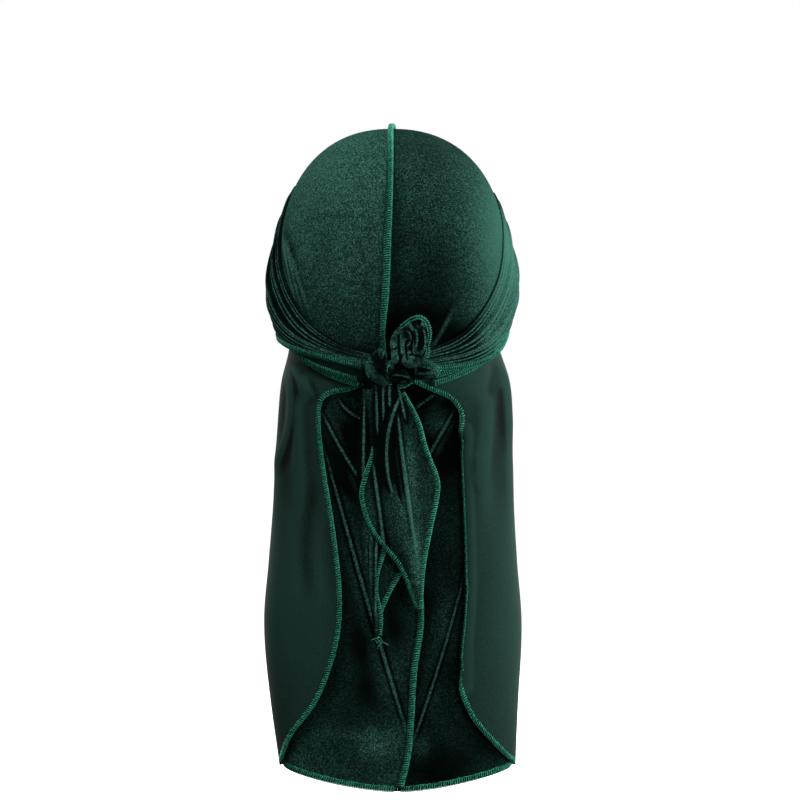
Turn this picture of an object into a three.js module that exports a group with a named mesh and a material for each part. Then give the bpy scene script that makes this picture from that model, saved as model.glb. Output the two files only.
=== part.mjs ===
// A tied velvet durag, kept in the form that it has when worn, with nothing inside it.
// Millimetres, +Z up. The wearer faces -Y, the knot and the long tail are at +Y, and +X is the
// wearer's left. The origin is the top of the head, at the inside of the cap.
import * as THREE from 'three';
import { mergeVertices } from 'three/addons/utils/BufferGeometryUtils.js';

const rad = THREE.MathUtils.degToRad;
const { lerp, clamp } = THREE.MathUtils;

// Driving dimensions of the head that the cap is stretched over.
const HEAD = { halfWidth: 78, front: 97, back: 98, topToWidest: 90, roundness: 2.25 };
const NECK = { size: 0.83, height: -190 };
const EAR = { out: 3, angle: 95, spread: 28, height: -118, reach: 28 };

// Cloth, and the gaps that the pieces keep.
const CLOTH = 1.2;
const SEAM_GAP = 0.35;
const SEAM_CLEAR = 0.7;

// Lower edge of the cap, by the angle round the head: 0 is the forehead and 180 the nape.
const CROWN_EDGE = [
  { angle: 0, height: -98 },
  { angle: 35, height: -102 },
  { angle: 65, height: -112 },
  { angle: 90, height: -122 },
  { angle: 104, height: -132 },
  { angle: 150, height: -145 },
  { angle: 180, height: -149 },
];
const TAIL_FIRST_ANGLE = 104;
const DOME_SHARE = 0.66;

// Where the centre seam strays to one side on its way down the back.
const SEAM_DRIFT = [
  { height: 0, side: 2 },
  { height: -50, side: 4 },
  { height: -110, side: 7 },
  { height: -150, side: 8.5 },
  { height: -200, side: 0 },
  { height: -270, side: -12 },
  { height: -337, side: -17.5 },
  { height: -373, side: -13 },
  { height: -428, side: -9 },
  { height: -454, side: -3 },
];
const DRIFT_FADES = 34;

// The hanging flap, by level from the cap's edge down to the hem: how far its folded sides are
// from the middle, and how far out its middle and its sides hang.
const TAIL_LEVELS = [
  { level: 0, left: 72, right: 76, centreOut: 84, sideOut: 16 },
  { level: 0.15, left: 73, right: 76.5, centreOut: 81, sideOut: 24 },
  { level: 0.35, left: 73.5, right: 75, centreOut: 80, sideOut: 32 },
  { level: 0.55, left: 77, right: 77, centreOut: 84, sideOut: 40 },
  { level: 0.68, left: 80, right: 80, centreOut: 87, sideOut: 45 },
  { level: 0.85, left: 77.5, right: 79.5, centreOut: 91, sideOut: 51 },
  { level: 1, left: 73.5, right: 80, centreOut: 95, sideOut: 56 },
];
const TAIL = { hemMiddle: -454, hemSide: -441, hemBow: 1.6, roundness: 2.3, letsGo: 0.14 };

// The free edge of each folded-back margin: from behind the knot, round the upper corner of the
// opening and down to the hem's corner.
const MARGIN_LEFT = [
  { along: 0, side: 12, height: -177 },
  { along: 0.06, side: 27, height: -183 },
  { along: 0.1, side: 41, height: -186 },
  { along: 0.135, side: 47, height: -193 },
  { along: 0.25, side: 46, height: -225 },
  { along: 0.42, side: 40, height: -280 },
  { along: 0.57, side: 38, height: -323 },
  { along: 0.7, side: 41, height: -362 },
  { along: 0.8, side: 50, height: -393 },
  { along: 0.92, side: 66, height: -419 },
  { along: 1, side: 73, height: -438 },
];
const MARGIN_RIGHT = [
  { along: 0, side: 14, height: -175 },
  { along: 0.06, side: 27, height: -183 },
  { along: 0.1, side: 38, height: -189 },
  { along: 0.135, side: 44, height: -198 },
  { along: 0.25, side: 46, height: -228 },
  { along: 0.42, side: 46.5, height: -278 },
  { along: 0.57, side: 46, height: -322 },
  { along: 0.7, side: 42, height: -368 },
  { along: 0.8, side: 48, height: -400 },
  { along: 0.92, side: 66, height: -424 },
  { along: 1, side: 79, height: -438 },
];
// How far the folded-back margin stands off the flap under it.
const MARGIN_LIFT = [
  { level: 0, lift: 2 },
  { level: 0.07, lift: 2.3 },
  { level: 0.14, lift: 4 },
  { level: 0.35, lift: 8 },
  { level: 0.7, lift: 9 },
  { level: 1, lift: 4.5 },
];
// Long soft rolls down the margins, as shares of the margin's width.
const MARGIN_ROLLS = [
  { across: 0.22, level: 0.12, endLevel: 0.42, raise: 2, spread: 0.14 },
  { across: 0.68, level: 0.14, endLevel: 0.36, raise: 1.4, spread: 0.12 },
];
// Ridges in the flap inside the opening, from one point to another.
const TAIL_FOLDS = [
  { side: 46, height: -215, endSide: 26, endHeight: -242, raise: 2.4, spread: 6 },
  { side: 40, height: -240, endSide: 15, endHeight: -345, raise: 3.2, spread: 7 },
  { side: 15, height: -345, endSide: -4, endHeight: -425, raise: 4.2, spread: 7 },
  { side: -42, height: -330, endSide: -17, endHeight: -418, raise: 4.2, spread: 7 },
  { side: -40, height: -200, endSide: -27, endHeight: -228, raise: 2.4, spread: 6 },
];

// Each strap comes from under the other one, crosses it on the forehead, and goes round the head
// to be gathered into the knot. Its two edges, and how far they stand off the head.
const STRAP_LEFT = [
  { angle: -56, upper: -86, lower: -108, upperLift: 2.7, lowerLift: 2.7 },
  { angle: -36, upper: -82, lower: -104, upperLift: 2.7, lowerLift: 2.7 },
  { angle: -18, upper: -80, lower: -102, upperLift: 3, lowerLift: 3 },
  { angle: -9, upper: -77.5, lower: -98, upperLift: 4, lowerLift: 4 },
  { angle: 0, upper: -66, lower: -87, upperLift: 4.6, lowerLift: 4.6 },
  { angle: 9, upper: -55, lower: -74, upperLift: 4.5, lowerLift: 4.5 },
  { angle: 18, upper: -50, lower: -72, upperLift: 5.2, lowerLift: 5.2 },
  { angle: 36, upper: -47, lower: -84, upperLift: 4.8, lowerLift: 4.8 },
  { angle: 60, upper: -43, lower: -119, upperLift: 4.6, lowerLift: 5 },
  { angle: 90, upper: -42, lower: -139, upperLift: 4.2, lowerLift: 5.8 },
  { angle: 106, upper: -78, lower: -144.5, upperLift: 3, lowerLift: 10.4 },
  { angle: 124, upper: -113, lower: -150, upperLift: 2.6, lowerLift: 12.4 },
  { angle: 138, upper: -133, lower: -154.5, upperLift: 4, lowerLift: 13.2 },
  { angle: 156, upper: -150, lower: -161, upperLift: 5.9, lowerLift: 12.8 },
  { angle: 171, upper: -156.5, lower: -167.5, upperLift: 9, lowerLift: 13 },
];
const STRAP_RIGHT = [
  { angle: -56, upper: -86, lower: -108, upperLift: 2.7, lowerLift: 2.7 },
  { angle: -36, upper: -82, lower: -104, upperLift: 2.7, lowerLift: 2.7 },
  { angle: -18, upper: -81, lower: -102, upperLift: 3, lowerLift: 3 },
  { angle: -9, upper: -78.5, lower: -99, upperLift: 6.8, lowerLift: 6.8 },
  { angle: 0, upper: -66, lower: -87, upperLift: 6.8, lowerLift: 6.8 },
  { angle: 9, upper: -56, lower: -76, upperLift: 6, lowerLift: 6 },
  { angle: 18, upper: -50, lower: -74, upperLift: 5.4, lowerLift: 5.4 },
  { angle: 36, upper: -47, lower: -84, upperLift: 4.8, lowerLift: 4.8 },
  { angle: 60, upper: -45, lower: -119, upperLift: 4.6, lowerLift: 5 },
  { angle: 90, upper: -46, lower: -139, upperLift: 4.2, lowerLift: 5.8 },
  { angle: 110, upper: -75, lower: -144.5, upperLift: 3, lowerLift: 10.4 },
  { angle: 124, upper: -108, lower: -153, upperLift: 2.6, lowerLift: 13 },
  { angle: 138, upper: -132, lower: -161, upperLift: 3.4, lowerLift: 14.4 },
  { angle: 151, upper: -146, lower: -166, upperLift: 5, lowerLift: 14 },
  { angle: 167, upper: -155.5, lower: -168, upperLift: 8.6, lowerLift: 13.4 },
];
const STRAP_RISE = 0.62;
// Pleats along a strap: where each crest lies across it, and how high it is.
const PLEATS = [
  { across: 0.1, raise: 1.3, spread: 0.06 },
  { across: 0.31, raise: 2.1, spread: 0.08 },
  { across: 0.52, raise: 1.8, spread: 0.07 },
  { across: 0.73, raise: 1.7, spread: 0.07 },
  { across: 0.93, raise: 1.2, spread: 0.06 },
];
const PLEATS_BEGIN = 30;
const PLEATS_FULL = 85;
const PLEATS_NARROW = 60;

// The first turn of each strap, from the cap's edge back to the nape: folded lengthwise, with the
// fold above and its two stitched edges below, one a little lower than the other.
const ROOT_LEFT = [
  { angle: 78, fold: -100, near: -115, far: -116, lift: 2.45 },
  { angle: 94, fold: -117, near: -126, far: -127, lift: 2.5 },
  { angle: 112, fold: -134, near: -140, far: -142, lift: 7.8 },
  { angle: 126, fold: -143, near: -152, far: -154, lift: 8.6 },
  { angle: 140, fold: -150, near: -161, far: -163.5, lift: 9.9 },
  { angle: 153, fold: -157, near: -169, far: -173, lift: 9.4 },
  { angle: 167, fold: -162.5, near: -176, far: -181, lift: 9 },
];
const ROOT_RIGHT = [
  { angle: 78, fold: -100, near: -115, far: -116, lift: 2.45 },
  { angle: 94, fold: -117, near: -126, far: -127, lift: 2.5 },
  { angle: 112, fold: -134, near: -140, far: -142, lift: 7.8 },
  { angle: 126, fold: -145, near: -152, far: -154, lift: 9.6 },
  { angle: 140, fold: -154, near: -163, far: -165, lift: 10.8 },
  { angle: 152, fold: -160, near: -168, far: -173, lift: 10 },
  { angle: 164, fold: -162.5, near: -174, far: -180, lift: 9 },
];
const ROOT = { cloth: 1, apart: 1.7, turnFrom: 0.3, turnTo: 0.7 };

// The raised centre seam: the cut edges of both halves stand up together, bound with thread.
const SEAM_ROWS = [
  { along: 0, tall: 3.4, thick: 1.7, lean: 86 },
  { along: 0.12, tall: 3.4, thick: 1.6, lean: 87 },
  { along: 0.16, tall: 3.1, thick: 2.4, lean: 10 },
  { along: 0.24, tall: 2.9, thick: 2.4, lean: 8 },
  { along: 0.36, tall: 5, thick: 2.4, lean: 38 },
  { along: 0.46, tall: 5.2, thick: 2.4, lean: 62 },
  { along: 0.52, tall: 3.4, thick: 1.7, lean: 86 },
  { along: 0.6, tall: 3.4, thick: 1.7, lean: 84 },
  { along: 0.7, tall: 4.2, thick: 2.2, lean: 55 },
  { along: 1, tall: 4.2, thick: 2.2, lean: 45 },
];
const SEAM_SHARES = { overTop: 0.24, toTail: 0.52 };
const SEAM_ENDS = { front: 0.985, hem: 0.992 };

// The knot: two turns of gathered cloth, each a thick roll through a few points.
const KNOT_LEFT = {
  path: [
    [7, 101, -155.5],
    [12.6, 102.9, -159.5],
    [14.4, 103.7, -166.5],
    [11.8, 103.6, -173.5],
    [6, 102.6, -177],
  ],
  halfWide: 4.6,
  halfDeep: 7,
};
const KNOT_RIGHT = {
  path: [
    [8.7, 105, -164.5],
    [-1, 105.4, -168],
    [-11, 104.6, -172.6],
    [-20.5, 102, -172.5],
    [-28, 98.6, -169],
  ],
  halfWide: 5.2,
  halfDeep: 6.4,
};
// The small loop of cloth that stands up from the knot, open at its top.
const LOOP = {
  base: [-6.5, 105.5, -163.4],
  mouth: [-13.5, 105, -135],
  halfWide: 11.5,
  halfDeep: 6.5,
  crumple: 0.9,
};

// The two hanging strap ends: by height, where their edges are and how far out they hang.
const END_LONG = [
  { height: -180, left: 13.5, right: -5, out: 100 },
  { height: -203, left: 15, right: -17.5, out: 99.5 },
  { height: -222, left: 13.5, right: -23, out: 98.5 },
  { height: -244, left: 20, right: -31, out: 97.5 },
  { height: -256, left: 21.6, right: -30.6, out: 97 },
  { height: -278, left: 14.2, right: -26, out: 96.5 },
  { height: -303, left: -4.7, right: -21.5, out: 96.5 },
  { height: -333, left: -17, right: -19.4, out: 96.5 },
];
const END_LONG_RIDGE = { top: 0.45, tip: 0.62, raise: 5, spread: 0.3 };
const END_SHORT = [
  { height: -183, left: 20, right: 2, out: 97.3 },
  { height: -222, left: 24, right: -4, out: 92.5 },
  { height: -256, left: 24, right: -3, out: 92 },
  { height: -292, left: 21, right: 4, out: 92.5 },
  { height: -325, left: 16.5, right: 6.5, out: 93.5 },
  { height: -352, left: 13, right: 10, out: 94.5 },
];
const END_SHORT_RIDGE = { top: 0.3, tip: 0.4, raise: 1.6, spread: 0.25 };

// How finely each surface is divided.
const GRID = {
  tailColumns: 13,
  frontColumns: 8,
  crownRows: 10,
  tailRows: 19,
  foldColumns: 3,
  marginColumns: 7,
  strapStations: 25,
  strapColumns: 12,
  rootStations: 14,
  rootColumns: 10,
  endRows: 12,
  endColumns: 7,
  seamStations: 46,
  rollStations: 12,
  rollSides: 12,
  loopColumns: 14,
  loopRows: 8,
};

// Reads a named column of a table at any place between its rows, on a smooth curve.
function read(table, key, column, value) {
  const rising = table[table.length - 1][key] > table[0][key];
  let row = 0;
  while (row < table.length - 2 && (value > table[row + 1][key]) === rising) row += 1;
  const a = table[row];
  const b = table[row + 1];
  const before = table[Math.max(row - 1, 0)];
  const after = table[Math.min(row + 2, table.length - 1)];
  const span = b[key] - a[key];
  const t = clamp((value - a[key]) / span, 0, 1);
  const slopeA = ((b[column] - before[column]) / (b[key] - before[key])) * span;
  const slopeB = ((after[column] - a[column]) / (after[key] - a[key])) * span;
  return (2 * t ** 3 - 3 * t ** 2 + 1) * a[column] + (t ** 3 - 2 * t ** 2 + t) * slopeA
    + (3 * t ** 2 - 2 * t ** 3) * b[column] + (t ** 3 - t ** 2) * slopeB;
}

function ease(from, to, value) {
  return THREE.MathUtils.smoothstep(value, from, to);
}

// A bump that is one at its middle and fades out over its spread.
function bump(distance, spread) {
  return Math.exp(-((distance / spread) ** 2));
}

// A point on the head at an angle round it, in degrees from the forehead, and a height.
function headAt(angle, height) {
  const level = height + HEAD.topToWidest;
  const shrink = level > 0
    ? (1 - Math.min(level / HEAD.topToWidest, 1) ** HEAD.roundness) ** (1 / HEAD.roundness)
    : 1 - (1 - NECK.size) * ease(HEAD.topToWidest, -NECK.height, -height);
  const side = Math.sin(rad(angle));
  const ahead = Math.cos(rad(angle));
  const depth = ahead > 0 ? HEAD.front : HEAD.back;
  const round = (Math.abs(side) / HEAD.halfWidth) ** HEAD.roundness
    + (Math.abs(ahead) / depth) ** HEAD.roundness;
  const ear = EAR.out * bump(Math.abs(angle) - EAR.angle, EAR.spread)
    * bump(height - EAR.height, EAR.reach);
  const radius = shrink * round ** (-1 / HEAD.roundness) + ear;
  return new THREE.Vector3(side * radius, -ahead * radius, height);
}

// A point that stands off the head by a distance square to its surface.
function offHead(angle, height, lift) {
  const step = 1;
  const round = headAt(angle + step, height).sub(headAt(angle - step, height));
  const up = headAt(angle, height + step).sub(headAt(angle, height - step));
  return headAt(angle, height).addScaledVector(round.cross(up).normalize(), lift);
}

function crownEdge(angle) {
  return read(CROWN_EDGE, 'angle', 'height', angle);
}

// Moves a point near the middle of the back to follow the straying seam.
function strayed(point) {
  point.x += ease(0, 40, point.y) * read(SEAM_DRIFT, 'height', 'side', point.z)
    * bump(point.x, DRIFT_FADES);
  return point;
}

// A point of one half of the cap: down is 0 at the top of the head and 1 at the lower edge.
function crownPoint(hand, angle, down) {
  const overDome = 1 - Math.min(down / DOME_SHARE, 1);
  const rise = Math.sin((overDome * Math.PI) / 2) ** (2 / HEAD.roundness);
  const domeHeight = HEAD.topToWidest * (rise - 1);
  const belowDome = Math.max((down - DOME_SHARE) / (1 - DOME_SHARE), 0);
  const height = overDome > 0 ? domeHeight : lerp(-HEAD.topToWidest, crownEdge(angle), belowDome);
  const point = headAt(angle, height);
  point.x = hand * (Math.max(point.x, 0) + SEAM_GAP);
  return strayed(point);
}

// How far the ridges in the flap raise it at a place on the back.
function foldsAt(side, height) {
  return TAIL_FOLDS.reduce((sum, fold) => {
    const run = clamp((height - fold.height) / (fold.endHeight - fold.height), 0, 1);
    const away = side - lerp(fold.side, fold.endSide, run);
    const past = Math.max(height - fold.height, fold.endHeight - height, 0);
    const crest = Math.sin(Math.PI * lerp(0.2, 0.8, run));
    return sum + fold.raise * crest * bump(away, fold.spread) * bump(past, 2 * fold.spread);
  }, 0);
}

// A point of one half of the flap: across is 0 at the centre seam and 1 at the folded side.
function tailPoint(hand, across, level) {
  const edge = crownPoint(hand, lerp(180, TAIL_FIRST_ANGLE, across), 1);
  if (level <= 0) return edge;
  const turn = (across * Math.PI) / 2;
  const sideShare = Math.sin(turn) ** (2 / TAIL.roundness);
  const outShare = Math.max(Math.cos(turn), 0) ** (2 / TAIL.roundness);
  const side = read(TAIL_LEVELS, 'level', hand > 0 ? 'left' : 'right', level);
  const sideOut = read(TAIL_LEVELS, 'level', 'sideOut', level);
  const centreOut = read(TAIL_LEVELS, 'level', 'centreOut', level);
  const hem = lerp(TAIL.hemMiddle, TAIL.hemSide, sideShare ** TAIL.hemBow);
  const height = lerp(edge.z, hem, level);
  const hanging = strayed(new THREE.Vector3(
    hand * (side * sideShare + SEAM_GAP),
    lerp(sideOut, centreOut, outShare),
    height,
  ));
  hanging.y += foldsAt(hanging.x, height);
  const free = ease(0, TAIL.letsGo, level);
  return new THREE.Vector3(lerp(edge.x, hanging.x, free), lerp(edge.y, hanging.y, free), height);
}

// The way out of the flap at a point of it.
function tailOut(hand, across, level) {
  const step = 0.03;
  const from = Math.min(across, 1 - step);
  const above = Math.max(level - step, 0);
  const sideways = tailPoint(hand, from + step, level).sub(tailPoint(hand, from, level));
  const down = tailPoint(hand, across, above + 2 * step).sub(tailPoint(hand, across, above));
  return sideways.cross(down).multiplyScalar(hand).normalize();
}

// Where a place on the back, by its distance from the middle and its height, lies on the flap.
function placeOnTail(hand, side, height) {
  let across = 0.5;
  let level = 0.5;
  for (let i = 0; i < 6; i += 1) {
    const widest = read(TAIL_LEVELS, 'level', hand > 0 ? 'left' : 'right', level);
    const sideShare = clamp(side / widest, 0, 1);
    across = (2 * Math.asin(sideShare ** (TAIL.roundness / 2))) / Math.PI;
    const top = crownEdge(lerp(180, TAIL_FIRST_ANGLE, across));
    level = (height - top) / (lerp(TAIL.hemMiddle, TAIL.hemSide, sideShare ** TAIL.hemBow) - top);
  }
  return { across, level };
}

// A point of the margin: across is 0 where the flap turns back and 1 at its free edge.
function marginPoint(hand, across, along) {
  const foldShare = GRID.foldColumns / (GRID.foldColumns + GRID.marginColumns);
  const edges = hand > 0 ? MARGIN_LEFT : MARGIN_RIGHT;
  const [side, height] = ['side', 'height'].map((column) => read(edges, 'along', column, along));
  const edge = placeOnTail(hand, side, height);
  const t = clamp((across - foldShare) / (1 - foldShare), 0, 1);
  const under = { across: lerp(1, edge.across, t), level: lerp(along, edge.level, t) };
  const base = tailPoint(hand, under.across, under.level);
  const out = tailOut(hand, under.across, under.level);
  const lift = read(MARGIN_LIFT, 'level', 'lift', under.level);
  if (across >= foldShare) {
    const roll = MARGIN_ROLLS.reduce((sum, { across: middle, level, endLevel, raise, spread }) => (
      sum + raise * bump(t - middle, spread)
        * ease(level - 0.05, level + 0.05, along) * (1 - ease(endLevel - 0.1, endLevel + 0.1, along))
    ), 0);
    return base.addScaledVector(out, lift + roll);
  }
  const turn = (across / foldShare) * Math.PI;
  const onward = tailPoint(hand, 1, along).sub(tailPoint(hand, 0.97, along)).normalize();
  return base
    .addScaledVector(out, (lift / 2) * (1 - Math.cos(turn)))
    .addScaledVector(onward, (lift / 2) * Math.sin(turn));
}

// A point of a strap: along is 0 at its hidden end and 1 at the knot.
function strapPoint(table, hand, along, across) {
  const angle = lerp(table[0].angle, table[table.length - 1].angle, along);
  const at = (column) => read(table, 'angle', column, angle);
  const width = at('upper') - at('lower');
  const strength = ease(PLEATS_BEGIN, PLEATS_FULL, angle) * Math.min(width / PLEATS_NARROW, 1);
  const pleats = PLEATS.reduce((sum, pleat) => (
    sum + pleat.raise * strength * bump(across - pleat.across, pleat.spread)
  ), 0);
  const lift = lerp(at('upperLift'), at('lowerLift'), ease(0, STRAP_RISE, across)) + pleats;
  const point = offHead(angle, lerp(at('upper'), at('lower'), across), lift);
  point.x *= hand;
  return point;
}

// A point of a strap's first turn: across goes from the lower stitched edge up the inner layer,
// round the fold and down the outer layer.
function rootPoint(table, hand, along, across) {
  const angle = lerp(table[0].angle, table[table.length - 1].angle, along);
  const at = (column) => read(table, 'angle', column, angle);
  const turn = clamp((across - ROOT.turnFrom) / (ROOT.turnTo - ROOT.turnFrom), 0, 1) * Math.PI;
  const down = across < ROOT.turnFrom
    ? (at('far') - at('fold')) * (1 - across / ROOT.turnFrom)
    : (at('near') - at('fold')) * Math.max((across - ROOT.turnTo) / (1 - ROOT.turnTo), 0);
  const height = at('fold') + down + (ROOT.apart / 2) * Math.sin(turn);
  const point = offHead(angle, height, at('lift') + (ROOT.apart / 2) * (1 - Math.cos(turn)));
  point.x *= hand;
  return point;
}

// A point on the line of the centre seam, from the forehead over the top and down to the hem.
function seamLine(along) {
  const { overTop, toTail } = SEAM_SHARES;
  let point;
  if (along < overTop) point = crownPoint(1, 0, SEAM_ENDS.front * (1 - along / overTop));
  else if (along < toTail) point = crownPoint(1, 180, (along - overTop) / (toTail - overTop));
  else point = tailPoint(1, 0, (SEAM_ENDS.hem * (along - toTail)) / (1 - toTail));
  point.x -= SEAM_GAP;
  return point;
}

// The seam's section at a place along it: a flat bar that stands up or leans to one side.
function seamRing(along, turn) {
  const step = 0.004;
  const before = seamLine(Math.max(along - step, 0));
  const onward = seamLine(Math.min(along + step, 1)).sub(before).normalize();
  const sideways = new THREE.Vector3(-1, 0, 0).addScaledVector(onward, onward.x).normalize();
  const out = onward.clone().cross(sideways).normalize();
  const lean = rad(read(SEAM_ROWS, 'along', 'lean', along));
  const tall = read(SEAM_ROWS, 'along', 'tall', along);
  const thick = read(SEAM_ROWS, 'along', 'thick', along);
  const stand = out.clone().multiplyScalar(Math.cos(lean)).addScaledVector(sideways, Math.sin(lean));
  const over = sideways.clone().multiplyScalar(Math.cos(lean)).addScaledVector(out, -Math.sin(lean));
  const clear = CLOTH + SEAM_CLEAR + (thick / 2) * Math.sin(lean);
  const squareness = 0.5;
  const round = (value) => Math.sign(value) * Math.abs(value) ** squareness;
  return seamLine(along)
    .addScaledVector(out, clear)
    .addScaledVector(stand, (tall / 2) * (1 + round(Math.sin(turn))))
    .addScaledVector(over, (thick / 2) * round(Math.cos(turn)));
}

// A thick roll of gathered cloth along a curve that lies across the back.
function rollRing(piece, curve, along, turn) {
  const onward = curve.getTangent(along);
  const wide = new THREE.Vector3(0, 1, 0).cross(onward).normalize();
  const deep = onward.clone().cross(wide);
  const full = (1 - (2 * along - 1) ** 6) ** 0.5 * 0.75 + 0.25;
  return curve.getPoint(along)
    .addScaledVector(wide, piece.halfWide * full * Math.cos(turn))
    .addScaledVector(deep, piece.halfDeep * full * Math.sin(turn));
}

// A point of the loop: up is 0 at its closed foot and 1 at its open mouth.
function loopPoint(turn, up) {
  const full = Math.sin((Math.min(up / 0.7, 1) * Math.PI) / 2) ** 0.8 * (1 - 0.16 * ease(0.7, 1, up));
  const crumple = 1 + 0.07 * Math.sin(3 * turn + 4 * up) + 0.04 * Math.sin(5 * turn - 3 * up);
  return new THREE.Vector3(
    lerp(LOOP.base[0], LOOP.mouth[0], up) + LOOP.halfWide * full * crumple * Math.cos(turn),
    lerp(LOOP.base[1], LOOP.mouth[1], up) + LOOP.halfDeep * full * crumple * Math.sin(turn),
    lerp(LOOP.base[2], LOOP.mouth[2], up) + LOOP.crumple * Math.sin(2 * turn) * up,
  );
}

// A point of a hanging strap end: along is 0 at the knot and 1 at the tip.
function endPoint(table, ridge, across, along) {
  const height = lerp(table[0].height, table[table.length - 1].height, along);
  const at = (column) => read(table, 'height', column, height);
  const width = at('left') - at('right');
  const crest = lerp(ridge.top, ridge.tip, along);
  const raise = Math.min(ridge.raise, width * 0.3) * bump(across - crest, ridge.spread);
  return new THREE.Vector3(lerp(at('left'), at('right'), across), at('out') + raise, height);
}

// A patch of surface as rows of points.
function patch(at, columns, rows) {
  return Array.from({ length: rows + 1 }, (_, r) => (
    Array.from({ length: columns + 1 }, (_, c) => at(c / columns, r / rows))
  ));
}

// Cloth of a real thickness, laid out from patches that join wherever their points meet.
function cloth(patches, inside, outside, turnedOver = false) {
  const corners = [];
  patches.forEach((rows) => {
    for (let r = 0; r + 1 < rows.length; r += 1) {
      for (let c = 0; c + 1 < rows[r].length; c += 1) {
        const [a, b, d, e] = [rows[r][c], rows[r][c + 1], rows[r + 1][c + 1], rows[r + 1][c]];
        corners.push(...(turnedOver ? [a, b, d, a, d, e] : [a, d, b, a, e, d]));
      }
    }
  });
  const skin = mergeVertices(new THREE.BufferGeometry().setFromPoints(corners), 1e-4);
  const faces = [];
  for (let i = 0; i < skin.index.count; i += 3) {
    const face = [0, 1, 2].map((k) => skin.index.getX(i + k));
    if (new Set(face).size === 3) faces.push(face);
  }
  skin.setIndex(faces.flat());
  skin.computeVertexNormals();
  const count = skin.attributes.position.count;
  const positions = [];
  [outside, -inside].forEach((offset) => {
    for (let i = 0; i < count; i += 1) {
      const out = new THREE.Vector3().fromBufferAttribute(skin.attributes.normal, i);
      const point = new THREE.Vector3().fromBufferAttribute(skin.attributes.position, i);
      positions.push(...point.addScaledVector(out, offset).toArray());
    }
  });
  const sides = new Set(faces.flatMap(([a, b, c]) => [`${a} ${b}`, `${b} ${c}`, `${c} ${a}`]));
  const index = faces.flatMap(([a, b, c]) => [a, b, c, a + count, c + count, b + count]);
  sides.forEach((name) => {
    const [a, b] = name.split(' ').map(Number);
    if (!sides.has(`${b} ${a}`)) index.push(b, a, a + count, b, a + count, b + count);
  });
  return new THREE.BufferGeometry()
    .setAttribute('position', new THREE.Float32BufferAttribute(positions, 3))
    .setIndex(index);
}

// A solid from rings of points, closed flat at both ends.
function solidFromRings(ringAt, stations, sides) {
  const rings = patch((turn, along) => ringAt(along, turn * 2 * Math.PI), sides, stations)
    .map((ring) => ring.slice(0, sides));
  const positions = rings.flat().flatMap((point) => point.toArray());
  const index = [];
  for (let s = 0; s < stations; s += 1) {
    for (let k = 0; k < sides; k += 1) {
      const a = s * sides + k;
      const b = s * sides + ((k + 1) % sides);
      index.push(a, b, b + sides, a, b + sides, a + sides);
    }
  }
  const last = stations * sides;
  for (let k = 1; k + 1 < sides; k += 1) index.push(0, k + 1, k, last, last + k, last + k + 1);
  return new THREE.BufferGeometry()
    .setAttribute('position', new THREE.Float32BufferAttribute(positions, 3))
    .setIndex(index);
}

function piece(name, geometry, colour, roughness) {
  geometry.computeVertexNormals();
  const material = new THREE.MeshStandardMaterial({ color: colour, roughness, metalness: 0 });
  const mesh = new THREE.Mesh(geometry, material);
  mesh.name = name;
  return mesh;
}

// One half of the durag: its half of the cap, its half of the flap and the folded-back margin.
function panel(hand) {
  const { tailColumns, frontColumns, crownRows, tailRows, foldColumns, marginColumns } = GRID;
  const backOfCap = (across, down) => crownPoint(hand, lerp(180, TAIL_FIRST_ANGLE, across), down);
  const frontOfCap = (across, down) => crownPoint(hand, lerp(TAIL_FIRST_ANGLE, 0, across), down);
  const margin = (across, along) => (
    across > 0 ? marginPoint(hand, across, along) : tailPoint(hand, 1, along)
  );
  return cloth([
    patch(backOfCap, tailColumns, crownRows),
    patch(frontOfCap, frontColumns, crownRows),
    patch((across, level) => tailPoint(hand, across, level), tailColumns, tailRows),
    patch(margin, foldColumns + marginColumns, tailRows),
  ], 0, CLOTH, hand > 0);
}

function strap(table, hand) {
  const at = (across, along) => strapPoint(table, hand, along, across);
  const surface = patch(at, GRID.strapColumns, GRID.strapStations);
  return cloth([surface], CLOTH / 2, CLOTH / 2, hand > 0);
}

function strapRoot(table, hand) {
  const at = (across, along) => rootPoint(table, hand, along, across);
  const surface = patch(at, GRID.rootColumns, GRID.rootStations);
  return cloth([surface], ROOT.cloth / 2, ROOT.cloth / 2, hand < 0);
}

function knotTurn(turn) {
  const curve = new THREE.CatmullRomCurve3(turn.path.map((point) => new THREE.Vector3(...point)));
  const ringAt = (along, angle) => rollRing(turn, curve, along, angle);
  return solidFromRings(ringAt, GRID.rollStations, GRID.rollSides);
}

function knotLoop() {
  const at = (share, up) => loopPoint(share === 1 ? 0 : share * 2 * Math.PI, up);
  return cloth([patch(at, GRID.loopColumns, GRID.loopRows)], 0, CLOTH, true);
}

function strapEnd(table, ridge) {
  const at = (across, along) => endPoint(table, ridge, across, along);
  return cloth([patch(at, GRID.endColumns, GRID.endRows)], CLOTH / 2, CLOTH / 2);
}

const VELVET = '#1b3633';
const VELVET_DARK = '#10211f';
const VELVET_LIT = '#1f4a40';
const THREAD = '#31705f';

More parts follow.
